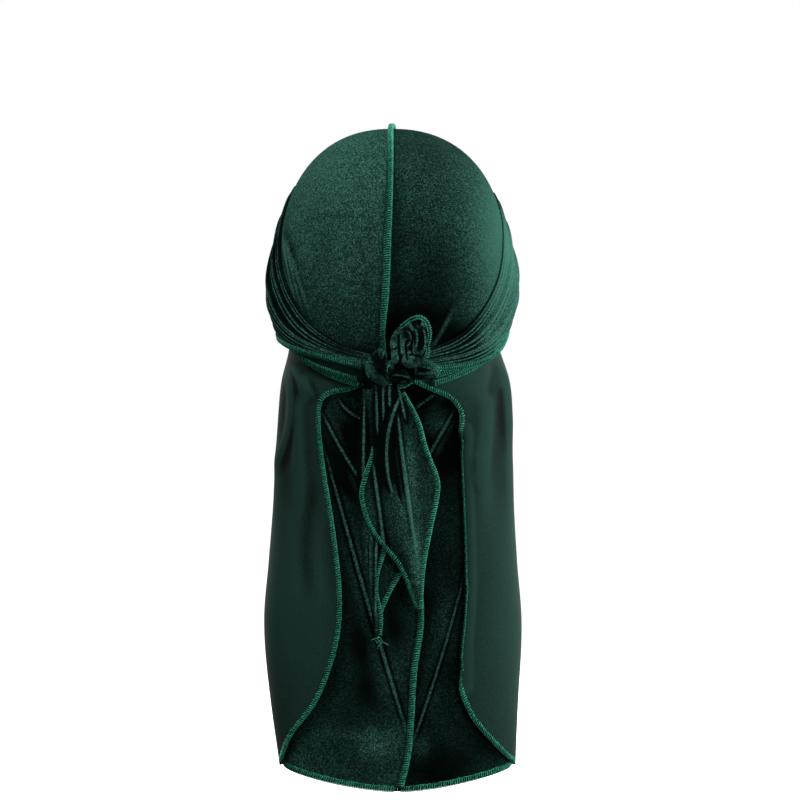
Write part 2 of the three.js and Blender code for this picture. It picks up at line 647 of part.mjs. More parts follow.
const durag = new THREE.Group();
durag.add(
  piece('panel_left', panel(1), VELVET, 0.8),
  piece('panel_right', panel(-1), VELVET_DARK, 0.8),
  piece('centre_seam', solidFromRings(seamRing, GRID.seamStations, 6), THREAD, 0.6),
  piece('strap_root_left', strapRoot(ROOT_LEFT, 1), VELVET, 0.8),
  piece('strap_root_right', strapRoot(ROOT_RIGHT, -1), VELVET, 0.8),
  piece('strap_left', strap(STRAP_LEFT, 1), VELVET, 0.75),
  piece('strap_right', strap(STRAP_RIGHT, -1), VELVET, 0.75),
  piece('knot_left', knotTurn(KNOT_LEFT), VELVET, 0.75),
  piece('knot_right', knotTurn(KNOT_RIGHT), VELVET, 0.75),
  piece('knot_loop', knotLoop(), VELVET, 0.75),
  piece('strap_end_long', strapEnd(END_LONG, END_LONG_RIDGE), VELVET_LIT, 0.75),
  piece('strap_end_short', strapEnd(END_SHORT, END_SHORT_RIDGE), VELVET, 0.75),
);

export default durag;
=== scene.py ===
import math
from functools import partial

import bpy
import numpy as np
from bpy.props import FloatProperty, FloatVectorProperty, PointerProperty
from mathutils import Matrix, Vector


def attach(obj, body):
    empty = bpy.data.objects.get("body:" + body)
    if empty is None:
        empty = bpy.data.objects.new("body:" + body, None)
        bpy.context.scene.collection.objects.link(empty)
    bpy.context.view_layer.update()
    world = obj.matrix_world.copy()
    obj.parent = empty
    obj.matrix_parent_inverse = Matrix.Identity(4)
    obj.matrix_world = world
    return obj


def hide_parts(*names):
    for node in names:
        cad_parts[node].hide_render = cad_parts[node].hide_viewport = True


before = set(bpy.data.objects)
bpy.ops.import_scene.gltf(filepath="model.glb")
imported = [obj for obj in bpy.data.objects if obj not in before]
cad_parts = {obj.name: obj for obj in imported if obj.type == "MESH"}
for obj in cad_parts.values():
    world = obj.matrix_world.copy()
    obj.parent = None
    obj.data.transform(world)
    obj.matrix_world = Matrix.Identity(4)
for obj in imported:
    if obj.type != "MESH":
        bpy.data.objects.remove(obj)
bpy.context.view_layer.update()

bl_info = {
    "name": "Tied velvet durag",
    "version": (1, 0, 0),
    "blender": (4, 5, 0),
    "location": "3D View > Sidebar > Durag",
    "description": "A velvet durag as it is worn: cap, centre seam, pleated straps, knot and hanging flap",
    "category": "Object",
}

# Lengths are in millimetres, +Z up. The wearer faces -Y, +X is the wearer's left, and the origin
# is the top of the head at the inside of the cap. Meshes are written in metres.
MM = 0.001


def table(columns, *rows):
    """A short table with named columns."""
    return dict(zip(columns.split(), np.array(rows, float).T))


def folds(*rows):
    """Folds from one place to another: bow is how far the line of a fold bends at its middle."""
    return table("side height end_side end_height bow raise spread", *rows)


HANDS = ((1, "left"), (-1, "right"))

# Driving dimensions of the head that the cap is stretched over.
HEAD_HALF_WIDTH, HEAD_FRONT, HEAD_BACK = 78, 97, 98
TOP_TO_WIDEST, HEAD_ROUNDNESS = 90, 2.25
NECK_SIZE, NECK_HEIGHT = 0.83, -190
EAR_OUT, EAR_ANGLE, EAR_SPREAD, EAR_HEIGHT, EAR_REACH = 3, 95, 28, -118, 28

# The velvet with its pile, the gap between the two halves under the seam, how clear of the cloth the
# seam stands, how much its rounded corners let it sink, and how far it lies over the gap.
CLOTH = 1.2
SEAM_GAP, SEAM_CLEAR, SEAM_ROUND, SEAM_COVER = 0.02, 0.03, 0.58, 0.5

# Lower edge of the cap, by the angle round the head: 0 is the forehead and 180 the nape.
CROWN_EDGE = table(
    "angle height",
    (0, -98), (35, -102), (65, -112), (90, -122), (104, -132), (150, -145), (180, -149),
)
TAIL_FIRST_ANGLE, DOME_SHARE = 104, 0.66

# Where the centre seam strays to one side on its way down the back.
SEAM_DRIFT = table(
    "height side",
    (0, 2), (-50, 4), (-110, 7), (-150, 8.5), (-200, 0), (-270, -12), (-337, -17.5),
    (-373, -13), (-428, -9), (-454, -3),
)
DRIFT_FADES = 34

# The hanging flap, by level from the cap's edge down to the hem.
TAIL_LEVELS = table(
    "level left right centre_out side_out",
    (0, 72, 76, 84, 16), (0.15, 73, 76.5, 81, 24), (0.35, 73.5, 75, 80, 32),
    (0.55, 77, 77, 84, 40), (0.68, 80, 80, 87, 45), (0.85, 77.5, 79.5, 91, 51),
    (1, 73.5, 80, 95, 56),
)
HEM_MIDDLE, HEM_SIDE, HEM_BOW = -454, -441, 1.6
TAIL_ROUNDNESS, TAIL_LETS_GO = 2.3, 0.14

# The free edge of each folded-back margin, from behind the knot down to the hem's corner.
MARGIN_EDGES = {
    1: table(
        "along side height",
        (0, 12, -177), (0.06, 27, -183), (0.1, 41, -186), (0.135, 47, -193), (0.25, 46, -225),
        (0.42, 40, -280), (0.57, 38, -323), (0.7, 41, -362), (0.8, 50, -393), (0.92, 66, -419),
        (1, 73, -438),
    ),
    -1: table(
        "along side height",
        (0, 14, -175), (0.06, 27, -183), (0.1, 38, -189), (0.135, 44, -198), (0.19, 43, -212),
        (0.25, 40, -228), (0.42, 39.5, -278), (0.57, 39, -322), (0.7, 36, -368), (0.8, 47, -400),
        (0.92, 66, -424), (1, 79, -438),
    ),
}
MARGIN_LIFT = table(
    "level lift",
    (0, 2), (0.07, 2.3), (0.14, 4), (0.35, 8), (0.7, 9), (1, 4.5),
)
# Long soft rolls down the margins, as shares of the margin's width.
MARGIN_ROLLS = table(
    "across level end_level raise spread",
    (0.22, 0.12, 0.42, 2, 0.14), (0.68, 0.14, 0.36, 1.4, 0.12),
)
FOLD_SHARE = 0.3
# How strongly the painted highlight on crests and the painted shade in hollows follow the bulge of a
# fold, and what part of that the knot's rolls and the front of the head show.
CREST_GAIN, ROLL_CREST, FRONT_CREST = 17, 0.6, 0.2

# Broad folds of the flap, where it falls from under the knot.
FLAP_FOLDS = folds(
    (44, -200, 18, -262, 0, 0.9, 6),
    (40, -230, -6, -420, 0, 2, 11),
    (-42, -310, -14, -430, 0, 2, 11),
    (-40, -195, -25, -235, 0, 0.9, 6),
)
# Sharp creases in the flap where it shows between its margins.
FLAP_CREASES = folds(
    (37, -189, 21, -203, 1.6, 0.3, 0.6),
    (49, -196, 17, -252, 1.2, 0.36, 0.65),
    (47, -220, -12, -422, 1, 0.42, 0.7),
    (-49, -306, -8, -436, -2, 0.4, 0.75),
    (-42, -196, -20, -236, 0, 0.36, 0.7),
    (-12, -198, -30, -185, 0, 0.2, 0.7),
)
# Thin ridges where the cap is drawn in beside the straps, and a faint fold line across it.
CAP_CREASES = folds(
    (77, -70, 64, -129, 0, 1, 1.4),
    (73, -77, 60, -132, 0, 0.9, 1.4),
    (69, -88, 55, -134, 0, 0.8, 1.4),
    (-41, -126, -21, -162, -1, 0.5, 2.2),
    (66, -66, 18, -66, 0.5, -0.05, 0.8),
)
# Ridges and hollows of the margins, down from where the straps hold them.
LAPEL_FOLDS = folds(
    (72, -160, 76, -246, -8, 1.8, 2.6),
    (68, -165, 55, -192, -1, 1.3, 2.4),
    (60, -172, 51, -190, 0, 0.8, 2),
    (50, -240, 52, -330, 4, -0.7, 6),
    (-74, -158, -74, -226, 0, 1.6, 2.8),
    (-70, -160, -62, -190, -1, -0.8, 4),
    (-56, -222, -54, -252, 0, 1, 4),
)
# Patches of painted light (light above 0) and painted shade (light below 0) over the back.
PAINTED_SHADING_PATCHES = table(
    "side height reach_side reach_height light",
    (-26, -60, 26, 60, -0.03), (14, -70, 14, 60, -0.05), (-76, -78, 15, 52, 1.8), (40, -26, 34, 34, 0.12),
    (24, -160, 14, 9, -0.16), (-44, -160, 22, 7, -0.16), (-10, -97, 8, 12, 0.1), (-3, -60, 5, 70, -0.08),
    (40, -120, 26, 40, 0.08), (-84, -92, 7, 44, 0.3), (-70, -147, 10, 8, 0.4), (-50, -128, 14, 10, 0.12),
    (26, -396, 30, 30, -0.03), (-42, -345, 36, 100, 0.05), (12, -425, 11, 7, 0.24), (-18, -424, 6, 6, 0.2),
    (20, -416, 28, 5, 0.1), (-11, -252, 4.5, 30, 0.5), (-16, -292, 3.5, 22, 0.4), (14, -250, 6, 40, 0.1),
    (10, -215, 36, 44, -0.16), (-29, -207, 8, 10, 0.26), (16, -335, 32, 76, -0.11),
    (32, -285, 16, 50, -0.08), (-28, -20, 28, 22, -0.05), (-12, -75, 10, 60, -0.04),
)
# The painted shade over the back of the panels and the straps, away from those patches.
PANEL_PAINTED_SHADE, STRAP_PAINTED_SHADE = {1: -0.01, -1: -0.115}, {1: -0.17, -1: -0.14}

# The straps' two edges by the angle round the head, and how far each edge lies off it.
STRAP_EDGES = {
    1: table(
        "angle upper lower upper_lift lower_lift",
        (-56, -86, -108, 2.7, 2.7), (-36, -82, -104, 2.7, 2.7), (-18, -80, -102, 3, 3),
        (-9, -77.5, -98, 4, 4), (0, -66, -87, 4.6, 4.6), (9, -55, -74, 4.5, 4.5),
        (18, -50, -72, 4, 5.2), (36, -47, -84, 2.8, 4.8), (60, -43, -119, 2.2, 5),
        (90, -42, -139, 2, 5.8), (106, -78, -144.5, 2, 10.4), (124, -113, -150, 2.2, 12.4),
        (138, -133, -154.5, 2.8, 13.2), (156, -150, -161, 4, 12.8), (171, -156.5, -167.5, 8, 13),
    ),
    -1: table(
        "angle upper lower upper_lift lower_lift",
        (-56, -86, -108, 2.7, 2.7), (-36, -82, -104, 2.7, 2.7), (-18, -81, -102, 3, 3),
        (-9, -78.5, -99, 6.8, 6.8), (0, -66, -87, 6.8, 6.8), (9, -56, -76, 6, 6),
        (18, -50, -74, 4, 5.4), (36, -47, -84, 2.8, 4.8), (60, -45, -119, 2.2, 5),
        (90, -46, -139, 2, 5.8), (110, -75, -144.5, 2, 10.4), (124, -108, -153, 2.2, 13),
        (138, -132, -161, 2.6, 14.4), (151, -146, -166, 3.8, 14), (167, -155.5, -168, 7.8, 13.4),
    ),
}
STRAP_RISE = 0.62
# Pleats along a strap: where each crest lies across it at the temple and at the knot, how far it
# wanders on the way, and how high and wide it is.
PLEATS = table(
    "across end_across stray raise spread",
    (0.07, 0.12, 0.008, 1.3, 0.018), (0.12, 0.22, -0.012, 1.1, 0.014), (0.24, 0.3, 0.016, 2.4, 0.028),
    (0.3, 0.42, -0.012, 1.1, 0.013), (0.44, 0.5, 0.022, 2.6, 0.03), (0.55, 0.57, -0.02, 1.2, 0.014),
    (0.63, 0.68, 0.014, 2.2, 0.026), (0.78, 0.77, -0.014, 1.2, 0.016), (0.86, 0.88, 0.01, 0.9, 0.014),
)
# The angles round the head where they begin, stand fully and reach the knot, how strong they are before
# they begin, the width of the strap below which they flatten, and the angle over which they wander.
PLEATS_BEGIN, PLEATS_FULL, PLEATS_AT_KNOT, PLEATS_FAINT = 30, 85, 165, 0.6
PLEATS_NARROW, PLEATS_WANDER = 60, 14
# At the temple a pleat is this much wider and lower than the sharp crease that it becomes at the knot.
SOFT_WIDER, SOFT_LOWER = 1.9, 0.75

# The first turn of each strap, folded lengthwise, from the cap's edge back to the nape.
ROOT_EDGES = {
    hand: table(
        "angle fold near far lift",
        (78, -100, -115, -116, 2.45), (94, -117, -126, -127, 2.5), (112, -134, -140, -142, 7.8), *rows,
    )
    for hand, rows in {
        1: (
            (126, -143, -152, -154, 8.6), (140, -150, -161, -163.5, 9.9),
            (153, -157, -169, -173, 9.4), (167, -162.5, -176, -181, 9),
        ),
        -1: (
            (126, -145, -152, -154, 9.6), (140, -154, -163, -165, 10.8),
            (152, -160, -168, -173, 10), (164, -162.5, -174, -180, 9),
        ),
    }.items()
}
# The thickness of its cloth, how far apart the layers are, and where the cloth turns over between them.
ROOT_CLOTH, ROOT_APART, ROOT_TURN_FROM, ROOT_TURN_TO = 1, 1.7, 0.3, 0.7

# The raised centre seam, from the forehead over the top and down to the hem.
SEAM_ROWS = table(
    "along tall thick lean",
    (0, 3.4, 1.7, 86), (0.12, 3.4, 1.6, 87), (0.16, 3.1, 2.4, 10), (0.24, 2.9, 2.4, 8),
    (0.36, 5, 2.4, 38), (0.46, 5.2, 2.4, 62), (0.52, 3.4, 1.7, 86), (0.6, 3.4, 1.7, 84),
    (0.7, 4.2, 2.2, 55), (1, 4.2, 2.2, 45),
)
SEAM_OVER_TOP, SEAM_TO_TAIL, SEAM_FRONT_END, SEAM_HEM_END = 0.24, 0.52, 0.985, 0.992
SEAM_STATIONS, SEAM_SIDES, SEAM_CORNERS = 420, 10, 0.5

# The pieces of the knot as they lie on the back: outlines by side and height, the depth of the
# middle, how far it bulges back and front, and how far its lower end comes forward. Each is painted
# darker all over, as painted shade, and lighter on the side that faces a given way, as painted light.
KNOT_PIECES = {
    "knot_left": dict(
        outline=(
            (8.4, -155.2), (13.8, -159.2), (16.6, -164.5), (17.2, -169.9), (14.4, -175.9), (9.1, -179.3),
            (3.7, -180.6), (1.4, -176.6), (3.4, -169.6), (4.4, -161.2), (5.4, -156.5),
        ),
        middle=(9.4, -167.8), depth=103, front=7.4, back=6.4, forward=0,
        nap=-0.24, painted_light_side=(0.5, 0, -0.42),
    ),
    "knot_right": dict(
        outline=(
            (4.6, -166.6), (5.1, -172.6), (3, -177), (-1, -179.9), (-5.7, -181.6), (-10.4, -179.4),
            (-15, -176.4), (-21.1, -176), (-27.8, -174.6), (-32.5, -170.6), (-27, -165.6), (-18, -163.4),
            (-8.4, -162.5), (-1, -162.9),
        ),
        middle=(-9, -171), depth=104, front=6.6, back=6, forward=0,
        nap=-0.22, painted_light_side=(-0.1, 0, 0.25),
    ),
    "knot_loop": dict(
        outline=(
            (1, -156.5), (1.8, -152.5), (0.9, -148.2), (-3, -142.2), (-7, -139.4), (-11.7, -135.7),
            (-17.1, -133.3), (-21.8, -135.1), (-24.6, -139.8), (-25.4, -146.5), (-23.6, -153.2),
            (-24, -159.9), (-20, -165), (-15.5, -168.2), (-10.4, -168.8), (-7.2, -166.8), (-5.7, -163),
            (-4.2, -166.2), (-1, -166.8), (0.8, -162),
        ),
        middle=(-11.6, -152.5), depth=105.4, front=7.2, back=5, forward=5,
        nap=-0.12, painted_light_side=(0.35, 0, -0.3),
    ),
}
KNOT_FOLDS = {
    "knot_left": folds(
        (5.6, -160, 4.4, -176, 1, -0.5, 2), (14.6, -162, 10.6, -177, 2.4, 0.35, 2),
    ),
    "knot_right": folds(
        (0, -168, -15, -170, 0, -1.6, 2.4), (1, -173.6, -13, -176, -1, 0.9, 1.3),
        (-10, -166, -29, -169.4, 0, 0.7, 1.6), (-14, -172.6, -30, -172, 0, 0.6, 1.4),
        (-2, -177.6, -12, -177, -1, -0.8, 0.9),
    ),
    "knot_loop": folds(
        (-11, -143.8, -7, -156, -3.2, 1.9, 0.9), (-15.7, -142.4, -15.7, -155, -0.8, 1.5, 0.9),
        (-20.6, -142.4, -19.4, -160, -2, 1.7, 1), (-4.3, -145.5, -5.4, -163, 0.6, -1.8, 1.4),
        (-9.4, -150, -10, -164, 0.6, -1.9, 1.2), (-13.4, -147, -13.4, -160, 0.8, -1.6, 1),
        (-12, -139.6, -20, -137.4, 0, -2, 2.4), (-18, -146, -17.6, -158, -0.8, -1, 1.2),
        (-5.6, -158, -5.6, -169, 0, -2.6, 1.3), (-1.2, -149, -1.8, -163, 0.6, 0.9, 1.6),
        (-13.2, -160, -12.4, -167, 0, 1.2, 1.6),
    ),
}
KNOT_COLUMNS, KNOT_ROWS = 120, 72
# Stitched edges on the knot, each from one share of an outline to another, with its width.
KNOT_STITCHES = {
    "knot_left": ((0.86, 1.06, 2.6),),
    "knot_right": ((0.98, 1.36, 3), (1.36, 1.52, 2.6), (1.66, 1.84, 2.6)),
    "knot_loop": ((0.17, 0.62, 3.4),),
}

# The hanging ends by height: their left and right edges, and how far out they lie.
END_EDGES = {
    "long": table(
        "height left right out",
        (-180, 13.5, -5, 100), (-203, 15, -17.5, 99.5), (-222, 13.5, -23, 98.5),
        (-244, 20, -31, 97.5), (-256, 21.6, -30.6, 97), (-278, 14.2, -26, 96.5),
        (-303, -4.7, -21.5, 96.5), (-333, -17, -19.4, 96.5),
    ),
    "short": table(
        "height left right out",
        (-183, 20, 2, 97.3), (-222, 24, -4, 92.5), (-256, 24, -3, 92), (-292, 21.6, 5, 92.5),
        (-306, 18.6, 9.2, 92.9), (-320, 16.4, 10.2, 93.3), (-336, 13.9, 7.2, 93.9), (-352, 12.4, 8.4, 94.5),
    ),
}
# The thread of one stitch: how far in from the edge, as a share of its width, how far out of the
# cloth, as a share of its half thickness, and how far on, as a share of the pitch.
BAR_STEPS = (
    (1, 0.75, 0.42), (0.6, 1.15, 0.2), (0.15, 1.05, -0.1),
    (-0.06, 0, -0.25), (0.15, -1.05, -0.15), (0.85, -0.9, 0.3),
)
NEEDLE_STEPS = ((0.97, 0.6, -0.45), (1, 1.05, -0.2), (1, 1.05, 0.2), (0.97, 0.6, 0.45))
CHAIN_STEPS = ((-0.04, 0.2, -0.55), (-0.1, 0.5, -0.2), (-0.1, 0.3, 0.2), (-0.04, -0.2, 0.55))

# The soft ridge down each hanging end: where it lies across the top and the tip, and its height.
END_RIDGES = {
    "long": dict(top=0.45, tip=0.62, raised=3.4, spread=0.3),
    "short": dict(top=0.3, tip=0.4, raised=1.6, spread=0.25),
}
# Folds of the hanging ends: fine gathers out of the knot, and long creases down to the tips.
END_FOLDS = {
    "long": folds(
        (-5.7, -186, 0.4, -252, 6.3, 1.9, 1.1), (-3, -196, -18, -308, 0.6, 2.2, 1.3),
        (-1, -200, -7, -262, 3, -1.8, 3), (11, -178, 10, -214, 0, 1.2, 1),
        (6.6, -178, 6, -204, 0, 1.3, 0.9), (2.6, -178, 1.6, -196, 0, 1.1, 0.8),
        (-2.6, -178, -9, -204, 0, 1.2, 0.9), (13, -232, 4, -300, 0, 1, 1.4),
    ),
    "short": folds(
        (19, -188, 20, -262, 0, 1.2, 1), (10, -270, 11, -345, 1, 1.4, 1.1),
        (16, -280, 13.5, -340, 1, -0.8, 1.2),
    ),
}
# The under layer of the short end that shows beside it: its hidden side and its stitched edge.
SHORT_UNDERLAY = table(
    "height hidden stitched out",
    (-290, 12, -11, 90.4), (-305, 12, -7, 90.8), (-318, 13, 0.6, 91.2), (-334, 12, 7.8, 91.8),
)
# The right margin's free edge curls under here, by the share along it: 0 is flat and 1 is half a turn.
EDGE_CURL = table("along curl", (0, 0), (0.17, 0), (0.23, 1), (0.7, 1), (0.77, 0), (1, 0))
CURL_LENGTH = 6.5
# How wide the stitches are on each edge, in from the edge, and on the seam as a share of its height.
STITCH_WIDTHS = dict(margin=3.1, hem=3.4, strap=5, root=3, long_end=3.2, short_end=3, seam=0.9)
# Sewn stitches vary a little: how far each strays, as a share of the pitch, and from its width.
STITCH_STRAYS, STITCH_NARROWEST, STITCH_WIDEST = 0.08, 0.9, 1.08
# Places where an edge is measured for its stitches.
EDGE_STATIONS, SEAM_EDGE_STATIONS = 700, 900
# The long end's left edge is turned under at the top, so its stitches come into view bit by bit.
LEAF_EDGE_WIDTH = STITCH_WIDTHS["long_end"] * np.clip(np.linspace(0.1, 8, EDGE_STATIONS), 0, 1)
# A short row of joining stitches on the right strap, near the knot: its line across the strap, its
# start and end along it, and its width.
JOIN_ACROSS, JOIN_START, JOIN_END, JOIN_WIDTH = 0.87, 0.775, 0.85, 6
# Thread ends hang loose from the short end's tip: how far each goes sideways and down, and its bow.
LOOSE_THREADS = ((-4.5, -6, 2), (-1.5, -8.5, -2), (2.5, -5, 1.5), (4, -2.5, -1))

# The stage, in metres and watts: the camera's place and lens, what part of the backdrop's white falls
# on the durag, the floor's half width and height, and each light's place, size and power.
CAMERA_PLACE, CAMERA_LENS, CAMERA_SENSOR = (-0.005, 2.0, -0.19), 127.1, 36.0
ROOM_LIGHT, FLOOR_HALF, FLOOR_HEIGHT = 0.12, 60.0, -0.62
LIGHTS_AIM = (0, 0, -0.2)
LIGHTS = {
    "right_edge": ((-1.7, -0.25, 0.3), 1.4, 40),
    "upper_left": ((0.6, 0.7, 1.6), 0.8, 30),
    "right_front": ((-1.2, 1.5, 0.0), 0.8, 17),
    "face_left": ((1.3, -1.9, 0.5), 1.2, 40),
    "face_right": ((-1.2, -1.9, 0.1), 1.2, 34),
}


# ---- curves and surfaces ----

def read(rows, key, column, value):
    """Reads a column of a table at any place between its rows, on a smooth curve."""
    keys, values = rows[key], rows[column]
    if keys[-1] < keys[0]:
        keys, value = -keys, -np.asarray(value, float)
    value = np.asarray(value, float)
    last = len(keys) - 1
    row = np.clip(np.searchsorted(keys, value) - 1, 0, last - 1)
    before, after = np.maximum(row - 1, 0), np.minimum(row + 2, last)
    span = keys[row + 1] - keys[row]
    t = np.clip((value - keys[row]) / span, 0, 1)
    slope_a = (values[row + 1] - values[before]) / (keys[row + 1] - keys[before]) * span
    slope_b = (values[after] - values[row]) / (keys[after] - keys[row]) * span
    return (
        (2 * t**3 - 3 * t**2 + 1) * values[row] + (t**3 - 2 * t**2 + t) * slope_a
        + (3 * t**2 - 2 * t**3) * values[row + 1] + (t**3 - t**2) * slope_b
    )


def read_all(rows, key, columns, value):
    """Reads several columns of a table at once."""
    return (read(rows, key, column, value) for column in columns.split())


def ease(start, end, value):
    """Goes smoothly from 0 at the start to 1 at the end."""
    t = np.clip((value - start) / (end - start), 0, 1)
    return t * t * (3 - 2 * t)


def bump(distance, spread):
    """One at its middle, fading out over its spread."""
    return np.exp(-((distance / spread) ** 2))


def crease(distance, spread):
    """One at its middle, where it is nearly sharp, fading out over its spread."""
    blunt = 0.35 * spread
    return np.exp((blunt - np.hypot(distance, blunt)) / spread)


def mix(a, b, t):
    """Goes from a to b as t goes from 0 to 1."""
    return a + (b - a) * t


def points(x, y, z):
    """Points from their three coordinates."""
    return np.stack(np.broadcast_arrays(x, y, z), axis=-1).astype(float)


def unit(vectors):
    """The same directions, one long."""
    return vectors / np.maximum(np.linalg.norm(vectors, axis=-1, keepdims=True), 1e-9)


def head_at(angle, height):
    """A point on the head at an angle round it, in degrees from the forehead, and a height."""
    level = height + TOP_TO_WIDEST
    dome = (1 - np.clip(level / TOP_TO_WIDEST, 0, 1) ** HEAD_ROUNDNESS) ** (1 / HEAD_ROUNDNESS)
    neck = 1 - (1 - NECK_SIZE) * ease(TOP_TO_WIDEST, -NECK_HEIGHT, -height)
    side, ahead = np.sin(np.radians(angle)), np.cos(np.radians(angle))
    depth = np.where(ahead > 0, HEAD_FRONT, HEAD_BACK)
    ring = (np.abs(side) / HEAD_HALF_WIDTH) ** HEAD_ROUNDNESS + (np.abs(ahead) / depth) ** HEAD_ROUNDNESS
    ear = EAR_OUT * bump(np.abs(angle) - EAR_ANGLE, EAR_SPREAD) * bump(height - EAR_HEIGHT, EAR_REACH)
    radius = np.where(level > 0, dome, neck) * ring ** (-1 / HEAD_ROUNDNESS) + ear
    return points(side * radius, -ahead * radius, height)


def off_head(angle, height, lift):
    """A point that stands off the head by a distance square to its surface."""
    around = head_at(angle + 1, height) - head_at(angle - 1, height)
    up = head_at(angle, height + 1) - head_at(angle, height - 1)
    return head_at(angle, height) + unit(np.cross(around, up)) * np.asarray(lift)[..., None]


def strayed(at):
    """Moves points near the middle of the back to follow the straying seam."""
    at[..., 0] += (
        ease(0, 40, at[..., 1]) * read(SEAM_DRIFT, "height", "side", at[..., 2])
        * bump(at[..., 0], DRIFT_FADES)
    )
    return at


def crown_point(hand, angle, down):
    """A point of one half of the cap: down is 0 at the top of the head and 1 at the lower edge."""
    over_dome = 1 - np.minimum(down / DOME_SHARE, 1)
    dome_height = TOP_TO_WIDEST * (np.sin(over_dome * math.pi / 2) ** (2 / HEAD_ROUNDNESS) - 1)
    below_dome = np.maximum((down - DOME_SHARE) / (1 - DOME_SHARE), 0)
    edge = read(CROWN_EDGE, "angle", "height", angle)
    at = head_at(angle, np.where(over_dome > 0, dome_height, mix(-TOP_TO_WIDEST, edge, below_dome)))
    at[..., 0] = hand * (np.maximum(at[..., 0], 0) + SEAM_GAP)
    return strayed(at)


def folds_at(rows, side, height, profile=bump):
    """How far folds raise the cloth at a place."""
    raised = 0.0
    for i in range(len(rows["side"])):
        fold = {name: column[i] for name, column in rows.items()}
        run_x, run_z = fold["end_side"] - fold["side"], fold["end_height"] - fold["height"]
        length = math.hypot(run_x, run_z)
        run_x, run_z = run_x / length, run_z / length
        t = ((side - fold["side"]) * run_x + (height - fold["height"]) * run_z) / length
        away = (height - fold["height"]) * run_x - (side - fold["side"]) * run_z
        away = away - fold["bow"] * 4 * np.clip(t * (1 - t), 0, 1)
        ends = ease(-0.08, 0.35, t) * (1 - ease(0.65, 1.08, t))
        raised = raised + fold["raise"] * profile(away, fold["spread"]) * ends
    return raised


def tail_point(hand, across, level):
    """A point of one half of the flap: across is 0 at the centre seam and 1 at the folded side."""
    across, level = np.broadcast_arrays(np.asarray(across, float), np.asarray(level, float))
    angle = mix(180, TAIL_FIRST_ANGLE, across)
    top = read(CROWN_EDGE, "angle", "height", angle)
    turn = across * math.pi / 2
    side_share = np.sin(turn) ** (2 / TAIL_ROUNDNESS)
    out_share = np.maximum(np.cos(turn), 0) ** (2 / TAIL_ROUNDNESS)
    side = read(TAIL_LEVELS, "level", "left" if hand > 0 else "right", level)
    side_out, centre_out = read_all(TAIL_LEVELS, "level", "side_out centre_out", level)
    hem = mix(HEM_MIDDLE, HEM_SIDE, side_share**HEM_BOW)
    height = mix(top, hem, level)
    edge = head_at(angle, height)
    edge[..., 0] = hand * (np.maximum(edge[..., 0], 0) + SEAM_GAP)
    edge = strayed(edge)
    hanging = strayed(points(
        hand * (side * side_share + SEAM_GAP), mix(side_out, centre_out, out_share), height,
    ))
    hanging[..., 1] += folds_at(FLAP_FOLDS, hanging[..., 0], height)
    hanging[..., 1] += folds_at(FLAP_CREASES, hanging[..., 0], height, crease)
    free = ease(0, TAIL_LETS_GO, level)[..., None]
    at = mix(edge, hanging, free)
    at[..., 2] = height
    return at


def tail_out(hand, across, level):
    """The way out of the flap at a place on it."""
    step = 0.03
    start, above = np.minimum(across, 1 - step), np.maximum(level - step, 0)
    sideways = tail_point(hand, start + step, level) - tail_point(hand, start, level)
    down = tail_point(hand, across, above + 2 * step) - tail_point(hand, across, above)
    return unit(np.cross(sideways, down) * hand)


def place_on_tail(hand, side, height):
    """Where a place on the back, by its distance from the middle and its height, lies on the flap."""
    across = level = np.full(np.shape(side), 0.5)
    for _ in range(6):
        widest = read(TAIL_LEVELS, "level", "left" if hand > 0 else "right", level)
        side_share = np.clip(side / widest, 0, 1)
        across = 2 * np.arcsin(side_share ** (TAIL_ROUNDNESS / 2)) / math.pi
        top = read(CROWN_EDGE, "angle", "height", mix(180, TAIL_FIRST_ANGLE, across))
        level = (height - top) / (mix(HEM_MIDDLE, HEM_SIDE, side_share**HEM_BOW) - top)
    return across, level


def margin_point(hand, across, along):
    """A point of the margin: across is 0 where the flap turns back and 1 at its free edge."""
    edge_place = read_all(MARGIN_EDGES[hand], "along", "side height", along)
    edge_across, edge_level = place_on_tail(hand, *edge_place)
    t = np.clip((across - FOLD_SHARE) / (1 - FOLD_SHARE), 0, 1)
    under_across, under_level = mix(1, edge_across, t), mix(along, edge_level, t)
    base = tail_point(hand, under_across, under_level)
    out = tail_out(hand, under_across, under_level)
    lift = read(MARGIN_LIFT, "level", "lift", under_level)
    roll = folds_at(LAPEL_FOLDS, base[..., 0], base[..., 2]) * np.minimum(t * 4, 1)
    for middle, level, end_level, raised, spread in zip(*MARGIN_ROLLS.values()):
        roll = roll + raised * bump(t - middle, spread) * (
            ease(level - 0.05, level + 0.05, along) * (1 - ease(end_level - 0.1, end_level + 0.1, along))
        )
    turn = across / FOLD_SHARE * math.pi
    onward = unit(tail_point(hand, 1.0, along) - tail_point(hand, 0.97, along))
    flat = base + out * (lift + roll)[..., None]
    if hand < 0:
        flat = flat + curl_under(base, hand, edge_across, edge_level, along, out)
    turned = (
        base + out * (lift / 2 * (1 - np.cos(turn)))[..., None]
        + onward * (lift / 2 * np.sin(turn))[..., None]
    )
    return np.where((across >= FOLD_SHARE)[..., None], flat, turned)


def curl_under(base, hand, edge_across, edge_level, along, out):
    """How far the margin moves as its free edge curls back under itself."""
    edge = tail_point(hand, edge_across, edge_level)
    inward = unit(tail_point(hand, mix(1, edge_across, 0.8), mix(along, edge_level, 0.8)) - edge)
    near = np.maximum(CURL_LENGTH - np.linalg.norm(base - edge, axis=-1), 0)
    curl = np.clip(read(EDGE_CURL, "along", "curl", along), 0.001, 1) * math.pi / CURL_LENGTH
    on, under = np.sin(near * curl) / curl, (1 - np.cos(near * curl)) / curl
    return inward * (near - on)[..., None] - out * under[..., None]


